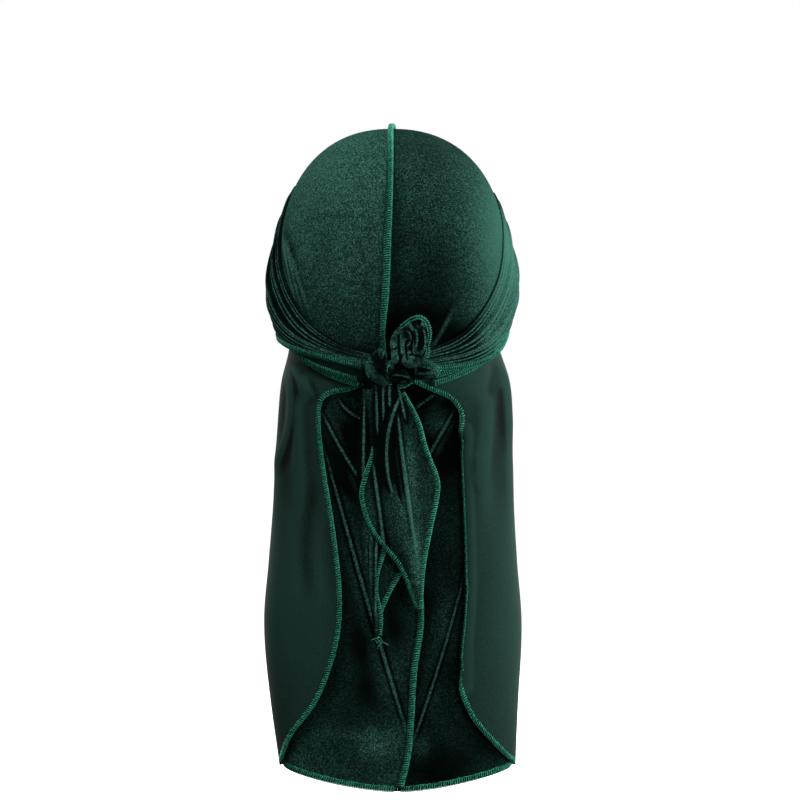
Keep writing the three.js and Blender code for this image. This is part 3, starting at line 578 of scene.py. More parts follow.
def strap_point(hand, along, across):
    """A point of a strap: along is 0 at its hidden end and 1 at the knot."""
    rows = STRAP_EDGES[hand]
    angle = mix(rows["angle"][0], rows["angle"][-1], along)
    upper, lower = read_all(rows, "angle", "upper lower", angle)
    upper_lift, lower_lift = read_all(rows, "angle", "upper_lift lower_lift", angle)
    strength = mix(PLEATS_FAINT, 1, ease(PLEATS_BEGIN, PLEATS_FULL, angle))
    strength = strength * np.minimum((upper - lower) / PLEATS_NARROW, 1) ** 0.7
    to_knot = ease(PLEATS_FULL, PLEATS_AT_KNOT, angle)
    pleats = 0.0
    for start, end, stray, raised, spread in zip(*PLEATS.values()):
        line = mix(start, end, to_knot) + stray * np.sin(angle / PLEATS_WANDER + 40 * start)
        soft, sharp = bump(across - line, SOFT_WIDER * spread), crease(across - line, spread)
        pleats = pleats + raised * strength * mix(SOFT_LOWER * soft, sharp, to_knot)
    pleats = pleats * ease(0, 0.06, across)
    lift = mix(upper_lift, lower_lift, ease(0, STRAP_RISE, across)) + pleats
    at = off_head(angle, mix(upper, lower, across), lift)
    at[..., 0] *= hand
    return at


def root_point(hand, across, along):
    """A point of a strap's first turn: up the inner layer, round the fold and down the outer one."""
    rows = ROOT_EDGES[hand]
    angle = mix(rows["angle"][0], rows["angle"][-1], along)
    fold, near, far, lift = read_all(rows, "angle", "fold near far lift", angle)
    turn = np.clip((across - ROOT_TURN_FROM) / (ROOT_TURN_TO - ROOT_TURN_FROM), 0, 1) * math.pi
    down = np.where(
        across < ROOT_TURN_FROM,
        (far - fold) * (1 - across / ROOT_TURN_FROM),
        (near - fold) * np.maximum((across - ROOT_TURN_TO) / (1 - ROOT_TURN_TO), 0),
    )
    height = fold + down + ROOT_APART / 2 * np.sin(turn)
    at = off_head(angle, height, lift + ROOT_APART / 2 * (1 - np.cos(turn)))
    at[..., 0] *= hand
    return at


def seam_line(along):
    """The line of the centre seam, from the forehead over the top and down to the hem."""
    along = np.asarray(along, float)
    front = crown_point(1, 0.0, SEAM_FRONT_END * np.clip(1 - along / SEAM_OVER_TOP, 0, 1))
    back = crown_point(1, 180.0, np.clip((along - SEAM_OVER_TOP) / (SEAM_TO_TAIL - SEAM_OVER_TOP), 0, 1))
    flap = tail_point(1, 0.0, SEAM_HEM_END * np.clip((along - SEAM_TO_TAIL) / (1 - SEAM_TO_TAIL), 0, 1))
    at = np.where((along < SEAM_TO_TAIL)[..., None], back, flap)
    at = np.where((along < SEAM_OVER_TOP)[..., None], front, at)
    at[..., 0] -= SEAM_GAP
    return at


def seam_frame(along):
    """The seam's foot, the way its bar stands, the way across the bar, its height and thickness."""
    step = 0.004
    onward = unit(seam_line(np.minimum(along + step, 1)) - seam_line(np.maximum(along - step, 0)))
    sideways = unit(np.array([-1.0, 0, 0]) + onward * onward[..., :1])
    out = unit(np.cross(onward, sideways))
    lean = np.radians(read(SEAM_ROWS, "along", "lean", along))[..., None]
    tall, thick = read_all(SEAM_ROWS, "along", "tall thick", along)
    stand = out * np.cos(lean) + sideways * np.sin(lean)
    over = sideways * np.cos(lean) - out * np.sin(lean)
    clear = CLOTH + SEAM_CLEAR + thick[..., None] / 2 * np.sin(lean) * SEAM_ROUND
    foot = seam_line(along) + out * clear - sideways * SEAM_COVER * np.sin(lean)
    return foot, stand, over, tall, thick


def end_point(which, across, along):
    """A point of a hanging strap end: along is 0 at the knot and 1 at the tip."""
    rows, ridge = END_EDGES[which], END_RIDGES[which]
    height = mix(rows["height"][0], rows["height"][-1], along)
    left, right, out = read_all(rows, "height", "left right out", height)
    crest = mix(ridge["top"], ridge["tip"], along)
    raised = np.minimum(ridge["raised"], (left - right) * 0.3) * bump(across - crest, ridge["spread"])
    side = mix(left, right, across)
    inside = np.minimum(np.minimum(across, 1 - across) * 8, 1)
    raised = raised + folds_at(END_FOLDS[which], side, height, crease) * inside
    return points(side, out + raised, height)


def underlay_point(across, along):
    """A point of the short end's under layer: across is 0 at its hidden side and 1 at its stitched edge."""
    rows = SHORT_UNDERLAY
    height = mix(rows["height"][0], rows["height"][-1], along)
    hidden, stitched, out = read_all(rows, "height", "hidden stitched out", height)
    return points(mix(hidden, stitched, across), out, height)


def outline_radius(piece, turn):
    """How far a knot piece's outline is from its middle, by the turn round it."""
    away = np.array(piece["outline"]) - piece["middle"]
    angle, radius = np.arctan2(away[:, 1], away[:, 0]), np.hypot(away[:, 0], away[:, 1])
    order = np.argsort(angle)
    steps = np.linspace(-math.pi, math.pi, 361)[:-1]
    rough = np.interp(steps, angle[order], radius[order], period=2 * math.pi)
    smooth = sum(np.roll(rough, k) * (5 - abs(k)) for k in range(-4, 5)) / 25
    return np.interp(turn, steps, smooth, period=2 * math.pi)


def knot_point(name, round_it, through):
    """A point of a knot piece: through is 0 at the middle of its front, 0.5 at its outline and 1 behind."""
    piece = KNOT_PIECES[name]
    turn = round_it * 2 * math.pi
    share = np.sin(through * math.pi)
    radius = outline_radius(piece, turn) * share
    side = piece["middle"][0] + radius * np.cos(turn)
    height = piece["middle"][1] + radius * np.sin(turn)
    bulge = np.cos(through * math.pi)
    bulge = np.sign(bulge) * np.abs(bulge) ** 0.8
    depth = piece["depth"] + np.where(bulge > 0, piece["front"], piece["back"]) * bulge
    depth = depth + piece["forward"] * ease(piece["middle"][1] + 8, piece["middle"][1] - 16, height)
    folds = folds_at(KNOT_FOLDS[name], side, height, crease) * np.clip(bulge * 2.5, 0, 1)
    return points(side, depth + folds, height)


def painted_shading_at(at, rest):
    """How much light or shade is painted into the velvet's colour: painted light above 0, painted shade below
    0, from the rest level and the patches, both fading out towards the front.
    """
    light = rest * ease(-40, 30, at[:, 1])
    for side, height, reach_side, reach_height, amount in zip(*PAINTED_SHADING_PATCHES.values()):
        away = np.hypot((at[:, 0] - side) / reach_side, (at[:, 2] - height) / reach_height)
        light += amount * bump(away, 1) * ease(0, 30, at[:, 1])
    return light


# ---- meshes ----

def patch(at, columns, rows):
    """A grid of points of a surface, given as a function of the shares across and along it."""
    across, along = np.meshgrid(np.linspace(0, 1, columns + 1), np.linspace(0, 1, rows + 1))
    return at(across, along)


def welded(patches, turned_over):
    """The points and faces of patches that join wherever their points meet."""
    at, faces, first = [], [], 0
    for grid in patches:
        rows, columns = grid.shape[:2]
        index = first + np.arange(rows * columns).reshape(rows, columns)
        a, b, c, d = index[:-1, :-1], index[:-1, 1:], index[1:, 1:], index[1:, :-1]
        order = (a, b, c, d) if turned_over else (a, d, c, b)
        faces.append(np.stack([corner.ravel() for corner in order], axis=1))
        at.append(grid.reshape(-1, 3))
        first += rows * columns
    at, faces = np.concatenate(at), np.concatenate(faces)
    _, kept, index = np.unique(np.round(at, 3), axis=0, return_index=True, return_inverse=True)
    faces = index.ravel()[faces]
    return at[kept], faces


def vertex_normals(at, faces):
    """The way out of the cloth at each point."""
    corners = at[faces]
    across = np.cross(corners[:, 2] - corners[:, 0], corners[:, 3] - corners[:, 1])
    normals = np.zeros_like(at)
    for k in range(4):
        np.add.at(normals, faces[:, k], across)
    return unit(normals)


def without_repeats(face):
    """A face's points, with those that fall together named once."""
    return [v for i, v in enumerate(face) if v != face[i - 1]]


def crests(at, normals, edges):
    """How sharply the cloth bulges at each point: above 0 on a crest and below 0 in a hollow. The materials
    paint it as highlight on crests and shade in hollows.
    """
    beside = np.zeros_like(at)
    count = np.zeros(len(at))
    reach = np.zeros(len(at))
    both_ways = (edges.T, edges.T[::-1])
    for a, b in both_ways:
        np.add.at(beside, a, at[b])
        np.add.at(count, a, 1)
        np.add.at(reach, a, np.linalg.norm(at[b] - at[a], axis=1))
    count = np.maximum(count, 1)
    reach = np.maximum(reach / count, 0.1)
    bulge = np.sum((at - beside / count[:, None]) * normals, axis=1) / reach
    soft = np.zeros(len(at))
    for a, b in both_ways:
        np.add.at(soft, a, bulge[b])
    return np.clip((bulge + soft / count) / 2 * CREST_GAIN, -1, 1)


def make_object(name, at, faces, materials, kinds=None, marks=None):
    """A smooth mesh object from points in millimetres, with a material number for each face."""
    mesh = bpy.data.meshes.new(name)
    mesh.from_pydata((at * MM).tolist(), [], faces)
    for material in materials:
        mesh.materials.append(material)
    if kinds is not None:
        mesh.polygons.foreach_set("material_index", kinds)
    mesh.polygons.foreach_set("use_smooth", [True] * len(mesh.polygons))
    for mark, values in (marks or {}).items():
        mesh.attributes.new(mark, "FLOAT", "POINT").data.foreach_set("value", values)
    mesh.update()
    made = bpy.data.objects.new(name, mesh)
    bpy.context.scene.collection.objects.link(made)
    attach(made, "root")
    return made


def edges_of(faces):
    """Both ends of every edge of every face."""
    edges = np.concatenate([faces[:, [k, (k + 1) % 4]] for k in range(4)])
    return edges[edges[:, 0] != edges[:, 1]]


def cloth(name, patches, inside, outside, turned_over, materials, nap=0.0, relief=None):
    """Cloth of a real thickness, with its right side first and its wrong side second."""
    at, faces = welded(patches, turned_over)
    if relief is not None:
        normals = vertex_normals(at, faces)
        at = at + normals * relief(at)[:, None]
    normals = vertex_normals(at, faces)
    count = len(at)
    edges = edges_of(faces)
    forward, back = edges[:, 0] * count + edges[:, 1], edges[:, 1] * count + edges[:, 0]
    rim = edges[~np.isin(forward, back)]
    outer = [without_repeats(face) for face in faces.tolist()]
    outer = [face for face in outer if len(face) > 2]
    inner = [[v + count for v in reversed(face)] for face in outer]
    edge_faces = [[b, a, a + count, b + count] for a, b in rim.tolist()]
    kinds = [0] * len(outer) + [1] * len(inner) + [0] * len(edge_faces)
    both = np.concatenate([at + normals * outside, at - normals * inside])
    bulge = crests(at, normals, edges)
    # The crest mark is painted highlight on crests and painted shade in hollows, weaker at the front; the
    # other mark is painted light and shade from the rest level and the patches.
    shown = mix(FRONT_CREST, 1, ease(-20, 60, both[:, 1]))
    marks = {"crest": np.concatenate([bulge, -bulge]) * shown, "nap": painted_shading_at(both, nap)}
    return make_object(name, both, outer + inner + edge_faces, materials, kinds, marks)


def closed_body(name, grid, materials, nap, painted_light_side):
    """A closed soft body from one grid that wraps round it. Its colour is painted lighter on one side, as
    painted light, with painted highlights on its crests and painted shade in its hollows.
    """
    at, faces = welded([grid], True)
    normals = vertex_normals(at, faces)
    marks = {
        "crest": crests(at, normals, edges_of(faces)) * ROLL_CREST,
        # Painted light on the side that faces the given way, on top of the painted shading level.
        "nap": painted_shading_at(at, nap) + np.maximum(normals @ np.array(painted_light_side), 0),
    }
    faces = [face for face in map(without_repeats, faces.tolist()) if len(face) > 2]
    return make_object(name, at, faces, materials, None, marks)


def solid_from_rings(name, rings, materials):
    """A closed body from rings of points, closed flat at both ends."""
    stations, sides = rings.shape[:2]
    faces = []
    for s in range(stations - 1):
        for k in range(sides):
            a, b = s * sides + k, s * sides + (k + 1) % sides
            faces.append([a, b, b + sides, a + sides])
    last = (stations - 1) * sides
    faces.append(list(range(sides))[::-1])
    faces.append([last + k for k in range(sides)])
    return make_object(name, rings.reshape(-1, 3), faces, materials)


def tubes(paths, across, radius, sides):
    """Lengths of thread: the points and faces of rings round each path, with flat ends."""
    onward = unit(np.gradient(paths, axis=1))
    up = unit(np.cross(onward, across[:, None]))
    aside = np.cross(up, onward)
    turn = np.linspace(0, 2 * math.pi, sides, endpoint=False)[:, None]
    rings = paths[:, :, None] + radius * (
        aside[:, :, None] * np.cos(turn) + up[:, :, None] * np.sin(turn)
    )
    count, stations = paths.shape[:2]
    one = []
    for k in range(stations - 1):
        for i in range(sides):
            a, b = k * sides + i, k * sides + (i + 1) % sides
            one.append([a, b, b + sides, a + sides])
    first = stations * sides * np.arange(count)
    faces = (np.array(one)[None] + first[:, None, None]).reshape(-1, 4).tolist()
    ends = np.arange(sides), (stations - 1) * sides + np.arange(sides)[::-1]
    for end in ends:
        faces += (end[::-1][None] + first[:, None]).tolist()
    return rings.reshape(-1, 3), faces


def edge_run(surface, start, end, width, half, lift=0.0, over=1):
    """An edge to be stitched. surface gives a point by its share along the edge and how far in it is."""
    t = np.linspace(start, end, EDGE_STATIONS)
    edge, inner = surface(t, np.zeros_like(t)), surface(t, np.full_like(t, 0.02))
    onward = unit(np.gradient(edge, axis=0))
    inward = inner - edge
    inward = unit(inward - onward * np.sum(inward * onward, axis=1, keepdims=True))
    out = np.cross(onward, inward) * over
    return dict(edge=edge + out * lift, inward=inward, out=out, width=t * 0 + width, half=t * 0 + half)


def loose_threads():
    """Paths of the thread ends that hang from the tip of the short end."""
    t = np.linspace(0, 1, 9)
    tip = end_point("short", 0.7, 0.985)
    return np.stack([
        tip + points(aside * t + bow * np.sin(t * 5), 0.9 + 0.8 * np.sin(t * 4), down * t)
        for aside, down, bow in LOOSE_THREADS
    ])


def overlock(name, runs, seed, loose=None):
    """Overlock stitches: a bar of thread over the edge for each stitch, a needle line and an edge chain."""
    sizes = bpy.context.scene.durag_sizes
    pitch, radius = sizes.pitch / MM, sizes.thread / MM
    chance = np.random.default_rng(seed)
    lengths = []
    for run in runs:
        length = np.concatenate([[0], np.cumsum(np.linalg.norm(np.diff(run["edge"], axis=0), axis=1))])
        where = np.arange(pitch / 2, length[-1], pitch)
        if not len(where):
            continue
        where = where + chance.uniform(-STITCH_STRAYS, STITCH_STRAYS, len(where)) * pitch

        def along(values):
            if values.ndim == 1:
                return np.interp(where, length, values)
            return np.stack([np.interp(where, length, column) for column in values.T], axis=1)

        edge, inward, out = along(run["edge"]), unit(along(run["inward"])), unit(along(run["out"]))
        onward = unit(np.cross(inward, out))
        width = along(run["width"]) * chance.uniform(STITCH_NARROWEST, STITCH_WIDEST, len(where))
        half = along(run["half"]) + radius * 0.7

        def thread_path(steps):
            ins, outs, ons = (np.array(column, float) for column in zip(*steps))
            return (
                edge[:, None] + inward[:, None] * ((width[:, None] * ins)[..., None] - radius * 0.5)
                + out[:, None] * (half[:, None] * outs)[..., None]
                + onward[:, None] * (pitch * ons)[None, :, None]
            )

        for steps, side, thick, sides in (
            (BAR_STEPS, onward, radius, 4),
            (NEEDLE_STEPS, out, radius * 0.85, 3),
            (CHAIN_STEPS, out, radius * 0.9, 3),
        ):
            lengths.append(tubes(thread_path(steps), side, thick, sides))
    if loose is not None:
        lengths.append(tubes(loose, np.tile([[1.0, 0.3, 0.0]], (len(loose), 1)), radius * 0.7, 5))
    faces, first = [], 0
    for at, more in lengths:
        faces += [[v + first for v in face] for face in more]
        first += len(at)
    made = make_object(name, np.concatenate([at for at, _ in lengths]), faces, [finish_of(OVERLOCK_THREAD)])
    return made


# ---- materials ----

WITH_THE_PILE, AGAINST_THE_PILE = "stretch_velvet_with_the_pile", "stretch_velvet_against_the_pile"
WRONG_SIDE, OVERLOCK_THREAD = "velvet_wrong_side_warp_knit", "overlock_thread_nylon"
# The two halves are cut with their pile running opposite ways, so one looks darker than the other:
# what part of the velvet's colour shows, and the way that the pile leans.
PILE_LOOKS = {WITH_THE_PILE: (1, (0.2, 0, 0.15)), AGAINST_THE_PILE: (0.55, (-0.15, -0.2, 0))}


def linear(hex_colour):
    """An sRGB hex colour as linear red, green and blue."""
    channels = [int(hex_colour[i:i + 2], 16) / 255 for i in (1, 3, 5)]
    return tuple(c / 12.92 if c <= 0.04045 else ((c + 0.055) / 1.055) ** 2.4 for c in channels)


def add_node(tree, kind, settings=None, links=None, output=0):
    """Adds a node with its settings and its links from other nodes, and gives one of its outputs."""
    made = tree.nodes.new(kind)
    for name, value in (settings or {}).items():
        if isinstance(name, int) or name in made.inputs:
            made.inputs[name].default_value = value
        else:
            setattr(made, name, value)
    for name, socket in (links or {}).items():
        tree.links.new(socket, made.inputs[name])
    return made.outputs[output] if made.outputs else None


def emptied(owner):
    """Clears the nodes of a material or a world, and gives what adds new ones."""
    owner.use_nodes = True
    owner.node_tree.nodes.clear()
    return partial(add_node, owner.node_tree)


def velvet(name, dark, lit, sheen, lean):
    """Stretch velvet, knitted, cut and sheared: a short shiny pile that leans one way. Its colour goes from
    near black to lit by painted light: painted highlights on crests, painted shade in hollows and painted
    patches of light and shade."""
    material = bpy.data.materials.new(name)
    add = emptied(material)
    place = {"Vector": add("ShaderNodeTexCoord", output="Object")}
    # Tufts are about 0.4 mm apart. They are drawn 0.6 mm apart, the finest that shows.
    tufts = add("ShaderNodeTexVoronoi", {"Scale": 1800.0, "Randomness": 1.0}, place, "Color")
    split = add("ShaderNodeSeparateColor", None, {"Color": tufts}, "Red")
    # A few tufts in each patch catch far more light than the rest.
    bright = add("ShaderNodeMath", {"operation": "POWER", 1: 3.5}, {0: split})
    # The pile is brushed into soft patches of 20 to 50 mm as the cloth is handled.
    lay = add("ShaderNodeTexNoise", {"Scale": 22.0, "Detail": 1.0, "Roughness": 0.5}, place, "Fac")
    patches = add(
        "ShaderNodeMapRange", {"From Min": 0.3, "From Max": 0.7, "To Min": 0.09, "To Max": 0.21},
        {"Value": lay},
    )
    # Painted highlight on crests and painted shade in hollows, and painted light and shade from the patches,
    # lighten or darken the velvet here, on top of its random patches.
    crest = add("ShaderNodeAttribute", {"attribute_name": "crest"}, output="Fac")
    nap = add("ShaderNodeAttribute", {"attribute_name": "nap"}, output="Fac")
    painted_light_and_patches = add("ShaderNodeMath", {"operation": "ADD"}, {0: nap, 1: patches})
    raised = add("ShaderNodeMath", {"operation": "MULTIPLY_ADD", 1: 0.8}, {0: crest, 2: painted_light_and_patches})
    tuft_light = add("ShaderNodeMapRange", {"To Min": 0.35, "To Max": 4.0}, {"Value": bright})
    share = add("ShaderNodeMath", {"operation": "MULTIPLY", "use_clamp": True}, {0: raised, 1: tuft_light})
    colour = add("ShaderNodeMix", {"data_type": "RGBA", 6: (*dark, 1), 7: (*lit, 1)}, {0: share}, 2)
    # Each tuft leans its own way a little, and all of them lean with the nap.
    surface = add("ShaderNodeNewGeometry", output="Normal")
    apart = add("ShaderNodeVectorMath", {"operation": "SCALE", "Scale": 0.7}, {0: tufts})
    leaning = add("ShaderNodeVectorMath", {"operation": "ADD", 1: [k - 0.35 for k in lean]}, {0: apart})
    tipped = add("ShaderNodeVectorMath", {"operation": "ADD"}, {0: surface, 1: leaning})
    upright = add("ShaderNodeVectorMath", {"operation": "NORMALIZE"}, {0: tipped})
    finish = add(
        "ShaderNodeBsdfPrincipled",
        {"Roughness": 0.6, "Sheen Weight": 0.08, "Sheen Roughness": 0.35, "Sheen Tint": (*sheen, 1),
         "Specular IOR Level": 0.0},
        {"Base Color": colour, "Normal": upright},
    )
    add("ShaderNodeOutputMaterial", None, {"Surface": finish})
    return material


def knit(name, dark, lit):
    """The wrong side of the velvet, warp knitted: a fine matte surface without pile."""
    material = bpy.data.materials.new(name)
    add = emptied(material)
    place = {"Vector": add("ShaderNodeTexCoord", output="Object")}
    # Loops are about 0.3 mm apart. They are drawn at about 1 mm, because finer ones don't show.
    loops = add("ShaderNodeTexNoise", {"Scale": 1000.0, "Detail": 1.0}, place, "Fac")
    # The knit is a little uneven over patches of 20 to 50 mm, where it was stretched and rubbed.
    soft = add("ShaderNodeTexNoise", {"Scale": 18.0, "Detail": 2.0}, place, "Fac")
    # Painted highlight on crests and painted shade in hollows lighten or darken the knit's grain here.
    crest = add("ShaderNodeAttribute", {"attribute_name": "crest"}, output="Fac")
    grain = add("ShaderNodeMath", {"operation": "MULTIPLY_ADD", 1: 0.6}, {0: soft, 2: loops})
    share = add("ShaderNodeMapRange", {"From Min": 0.3, "From Max": 1.6}, {"Value": grain})
    grain_and_painted_crests = add(
        "ShaderNodeMath", {"operation": "MULTIPLY_ADD", "use_clamp": True, 1: 1.3}, {0: crest, 2: share}
    )
    colour = add("ShaderNodeMix", {"data_type": "RGBA", 6: (*dark, 1), 7: (*lit, 1)}, {0: grain_and_painted_crests}, 2)
    rough = add("ShaderNodeBump", {"Strength": 0.2, "Distance": 0.4 * MM}, {"Height": loops})
    finish = add(
        "ShaderNodeBsdfPrincipled",
        {"Roughness": 0.85, "Sheen Weight": 0.03, "Sheen Roughness": 0.5, "Specular IOR Level": 0.03},
        {"Base Color": colour, "Normal": rough},
    )
    add("ShaderNodeOutputMaterial", None, {"Surface": finish})
    return material


def thread(name, dark, lit):
    """Textured nylon thread, spun bulky: bright, with a faint gloss on each turn."""
    material = bpy.data.materials.new(name)
    add = emptied(material)
    place = {"Vector": add("ShaderNodeTexCoord", output="Object")}
    # Its strands turn every 1.4 mm or so, about as long as a stitch is wide.
    twist = add("ShaderNodeTexNoise", {"Scale": 700.0, "Detail": 2.0}, place, "Fac")
    share = add("ShaderNodeMapRange", {"From Min": 0.35, "From Max": 0.65}, {"Value": twist})
    colour = add("ShaderNodeMix", {"data_type": "RGBA", 6: (*dark, 1), 7: (*lit, 1)}, {0: share}, 2)
    finish = add(
        "ShaderNodeBsdfPrincipled", {"Roughness": 0.55, "Sheen Weight": 0.03, "Specular IOR Level": 0.15},
        {"Base Color": colour},
    )
    add("ShaderNodeOutputMaterial", None, {"Surface": finish})
    return material


def finish_of(name):
    """The named finish, made the first time that a piece asks for it."""
    if name in bpy.data.materials:
        return bpy.data.materials[name]
    looks = bpy.context.scene.durag_looks
    if name in PILE_LOOKS:
        dimmed, lean = PILE_LOOKS[name]
        dark, lit = (np.array(colour) * dimmed for colour in (looks.velvet_dark, looks.velvet_lit))
        return velvet(name, dark, lit, looks.velvet_sheen, lean)
    if name == WRONG_SIDE:
        return knit(name, looks.knit_dark, looks.knit_lit)
    return thread(name, looks.thread_dark, looks.thread_lit)


def two_sides(right_side=WITH_THE_PILE):
    """The finishes of the cloth's right side and its wrong side."""
    return [finish_of(right_side), finish_of(WRONG_SIDE)]


# ---- sizes and colours ----

class DuragSizes(bpy.types.PropertyGroup):
    """Sizes of the cloth and its stitches"""
    cloth: FloatProperty(
        name="Cloth thickness", description="Thickness of the velvet with its pile", default=CLOTH * MM,
        min=0.5 * MM, max=3 * MM, unit="LENGTH", precision=5,
    )
    grid: FloatProperty(
        name="Mesh spacing", description="Distance between the points of the cloth", default=1.7 * MM,
        min=0.8 * MM, max=8 * MM, unit="LENGTH", precision=5,
    )
    pitch: FloatProperty(
        name="Stitch pitch", description="Distance from one overlock stitch to the next", default=1.6 * MM,
        min=1 * MM, max=5 * MM, unit="LENGTH", precision=5,
    )
    thread: FloatProperty(
        name="Thread radius", description="Half the thickness of the bulky overlock thread",
        default=0.36 * MM, min=0.1 * MM, max=1 * MM, unit="LENGTH", precision=5,
    )


class DuragLooks(bpy.types.PropertyGroup):
    """Colours of the velvet, its wrong side and the thread"""
    # The velvet is drawn between its dark and lit colours by painted shade and painted light, on top of its
    # grain.
    velvet_dark: FloatVectorProperty(
        name="Velvet, dark", description="Velvet where the pile is seen end on", subtype="COLOR",
        default=linear("#050c0a"),
    )
    velvet_lit: FloatVectorProperty(
        name="Velvet, lit", description="Velvet where the pile lies over", subtype="COLOR",
        default=linear("#44796d"),
    )
    velvet_sheen: FloatVectorProperty(
        name="Velvet sheen", description="Tint of the sheen at the edges", subtype="COLOR",
        default=linear("#6fae9f"),
    )
    # The knit is drawn between its dark and lit colours by its grain, and by painted highlights on crests and
    # painted shade in hollows.
    knit_dark: FloatVectorProperty(
        name="Knit, dark", description="Hollows of the knit on the wrong side", subtype="COLOR",
        default=linear("#0a1311"),
    )
    knit_lit: FloatVectorProperty(
        name="Knit, lit", description="Raised loops of the knit on the wrong side", subtype="COLOR",
        default=linear("#203c35"),
    )
    thread_dark: FloatVectorProperty(
        name="Thread, dark", description="Overlock thread between its strands", subtype="COLOR",
        default=linear("#0d5d44"),
    )
    thread_lit: FloatVectorProperty(
        name="Thread, lit", description="Overlock thread on its strands", subtype="COLOR",
        default=linear("#3fb091"),
    )


def columns_for(length):
    """How many columns or rows cover a length in millimetres at the chosen spacing."""
    return max(2, round(length * MM / bpy.context.scene.durag_sizes.grid))


# ---- operators ----

class DURAG_OT_stage(bpy.types.Operator):
    """Add the camera, the pale floor and the soft studio light"""
    bl_idname = "durag.stage"
    bl_label = "Stage"

    def execute(self, context):
        scene = context.scene
        camera_data = bpy.data.cameras.new("camera")
        camera_data.sensor_width, camera_data.lens = CAMERA_SENSOR, CAMERA_LENS
        camera = bpy.data.objects.new("camera", camera_data)
        camera.location = CAMERA_PLACE
        camera.rotation_euler = (math.radians(90), 0, math.radians(180))
        scene.collection.objects.link(camera)
        scene.camera = camera
        scene.view_settings.view_transform = "Standard"
        world = bpy.data.worlds.new("studio")
        add = emptied(world)
        # The backdrop is white, and lights the durag as softly as a studio with dark walls does.
        seen = add("ShaderNodeLightPath", output="Is Camera Ray")
        strength = add("ShaderNodeMapRange", {"To Min": ROOM_LIGHT, "To Max": 1.0}, {"Value": seen})
        white = add("ShaderNodeBackground", {"Color": (1, 1, 1, 1)}, {"Strength": strength})
        add("ShaderNodeOutputWorld", None, {"Surface": white})
        scene.world = world
        for name, (place, size, power) in LIGHTS.items():
            data = bpy.data.lights.new(name, "AREA")
            data.size, data.energy = size, power
            light = bpy.data.objects.new(name, data)
            light.location = place
            aim = np.array(LIGHTS_AIM) - np.array(place)
            light.rotation_mode = "QUATERNION"
            light.rotation_quaternion = Vector(aim).to_track_quat("-Z", "Y")
            scene.collection.objects.link(light)
        mesh = bpy.data.meshes.new("floor")
        corners = ((-1, -1), (1, -1), (1, 1), (-1, 1))
        mesh.from_pydata([(x * FLOOR_HALF, y * FLOOR_HALF, FLOOR_HEIGHT) for x, y in corners], [], [range(4)])
        # Coated white paper, rolled: matte and evenly lit, so that no edge of it shows.
        material = bpy.data.materials.new("white_paper_sweep")
        add = emptied(material)
        finish = add("ShaderNodeBsdfPrincipled", {
            "Base Color": (0.9, 0.9, 0.9, 1), "Roughness": 0.9,
            "Emission Color": (1, 1, 1, 1), "Emission Strength": 1.0,
        })
        add("ShaderNodeOutputMaterial", None, {"Surface": finish})
        mesh.materials.append(material)
        floor = bpy.data.objects.new("floor", mesh)
        scene.collection.objects.link(floor)
        floor.visible_diffuse = floor.visible_glossy = False
        return {"FINISHED"}


class DURAG_OT_panels(bpy.types.Operator):
    """Add the two halves: cap, flap and folded-back margin in one sheet each"""
    bl_idname = "durag.panels"
    bl_label = "Panels"

    def execute(self, context):
        thick = context.scene.durag_sizes.cloth / MM

        def closer(u):
            """Puts more columns near the middle of the back, where the fine creases are."""
            return u * (0.62 + 0.38 * u * u)

        def cap_relief(at):
            on_cap = ease(20, 45, at[:, 1]) * ease(-157, -151, at[:, 2])
            return folds_at(CAP_CREASES, at[:, 0], at[:, 2], crease) * on_cap

        back_columns, front_columns, margin_columns = columns_for(204), columns_for(85), columns_for(51)
        crown_rows, tail_rows = columns_for(102), columns_for(425)
        for hand, side in HANDS:
            def crown_back(u, v):
                return crown_point(hand, mix(180, TAIL_FIRST_ANGLE, closer(u)), v)

            def crown_front(u, v):
                return crown_point(hand, mix(TAIL_FIRST_ANGLE, 0, u), v)

            def flap(u, v):
                return tail_point(hand, closer(u), v)

            def margin(u, v):
                turned = margin_point(hand, u, v)
                return np.where((u > 0)[..., None], turned, tail_point(hand, 1.0, v))

            made = cloth(
                f"velvet_panel_{side}",
                [
                    patch(crown_back, back_columns, crown_rows),
                    patch(crown_front, front_columns, crown_rows),
                    patch(flap, back_columns, tail_rows),
                    patch(margin, margin_columns, tail_rows),
                ],
                0, thick, hand > 0,
                two_sides(WITH_THE_PILE if hand > 0 else AGAINST_THE_PILE),
                PANEL_PAINTED_SHADE[hand], cap_relief,
            )
            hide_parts(f"panel_{side}")
        return {"FINISHED"}


class DURAG_OT_centre_seam(bpy.types.Operator):
    """Add the raised seam over the middle of the cap and down the flap"""
    bl_idname = "durag.centre_seam"
    bl_label = "Centre seam"

    def execute(self, context):
        foot, stand, over, tall, thick = seam_frame(np.linspace(0, 1, SEAM_STATIONS))
        turn = np.linspace(0, 2 * math.pi, SEAM_SIDES, endpoint=False)

        def squared(value):
            return np.sign(value) * np.abs(value) ** SEAM_CORNERS

        rings = (
            foot[:, None] + stand[:, None] * (tall[:, None] / 2 * (1 + squared(np.sin(turn))))[..., None]
            + over[:, None] * (thick[:, None] / 2 * squared(np.cos(turn)))[..., None]
        )
        made = solid_from_rings("overlocked_centre_seam", rings, [finish_of(WITH_THE_PILE)])
        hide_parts("centre_seam")
        return {"FINISHED"}


class DURAG_OT_strap_roots(bpy.types.Operator):
    """Add the first turn of each strap, from the cap's edge to the nape"""
    bl_idname = "durag.strap_roots"
    bl_label = "Strap roots"

    def execute(self, context):
        for hand, side in HANDS:
            made = cloth(
                f"velvet_strap_root_{side}",
                [patch(lambda u, v: root_point(hand, u, v), columns_for(40), columns_for(120))],
                ROOT_CLOTH / 2, ROOT_CLOTH / 2, hand < 0, two_sides(),
            )
            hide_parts(f"strap_root_{side}")
        return {"FINISHED"}


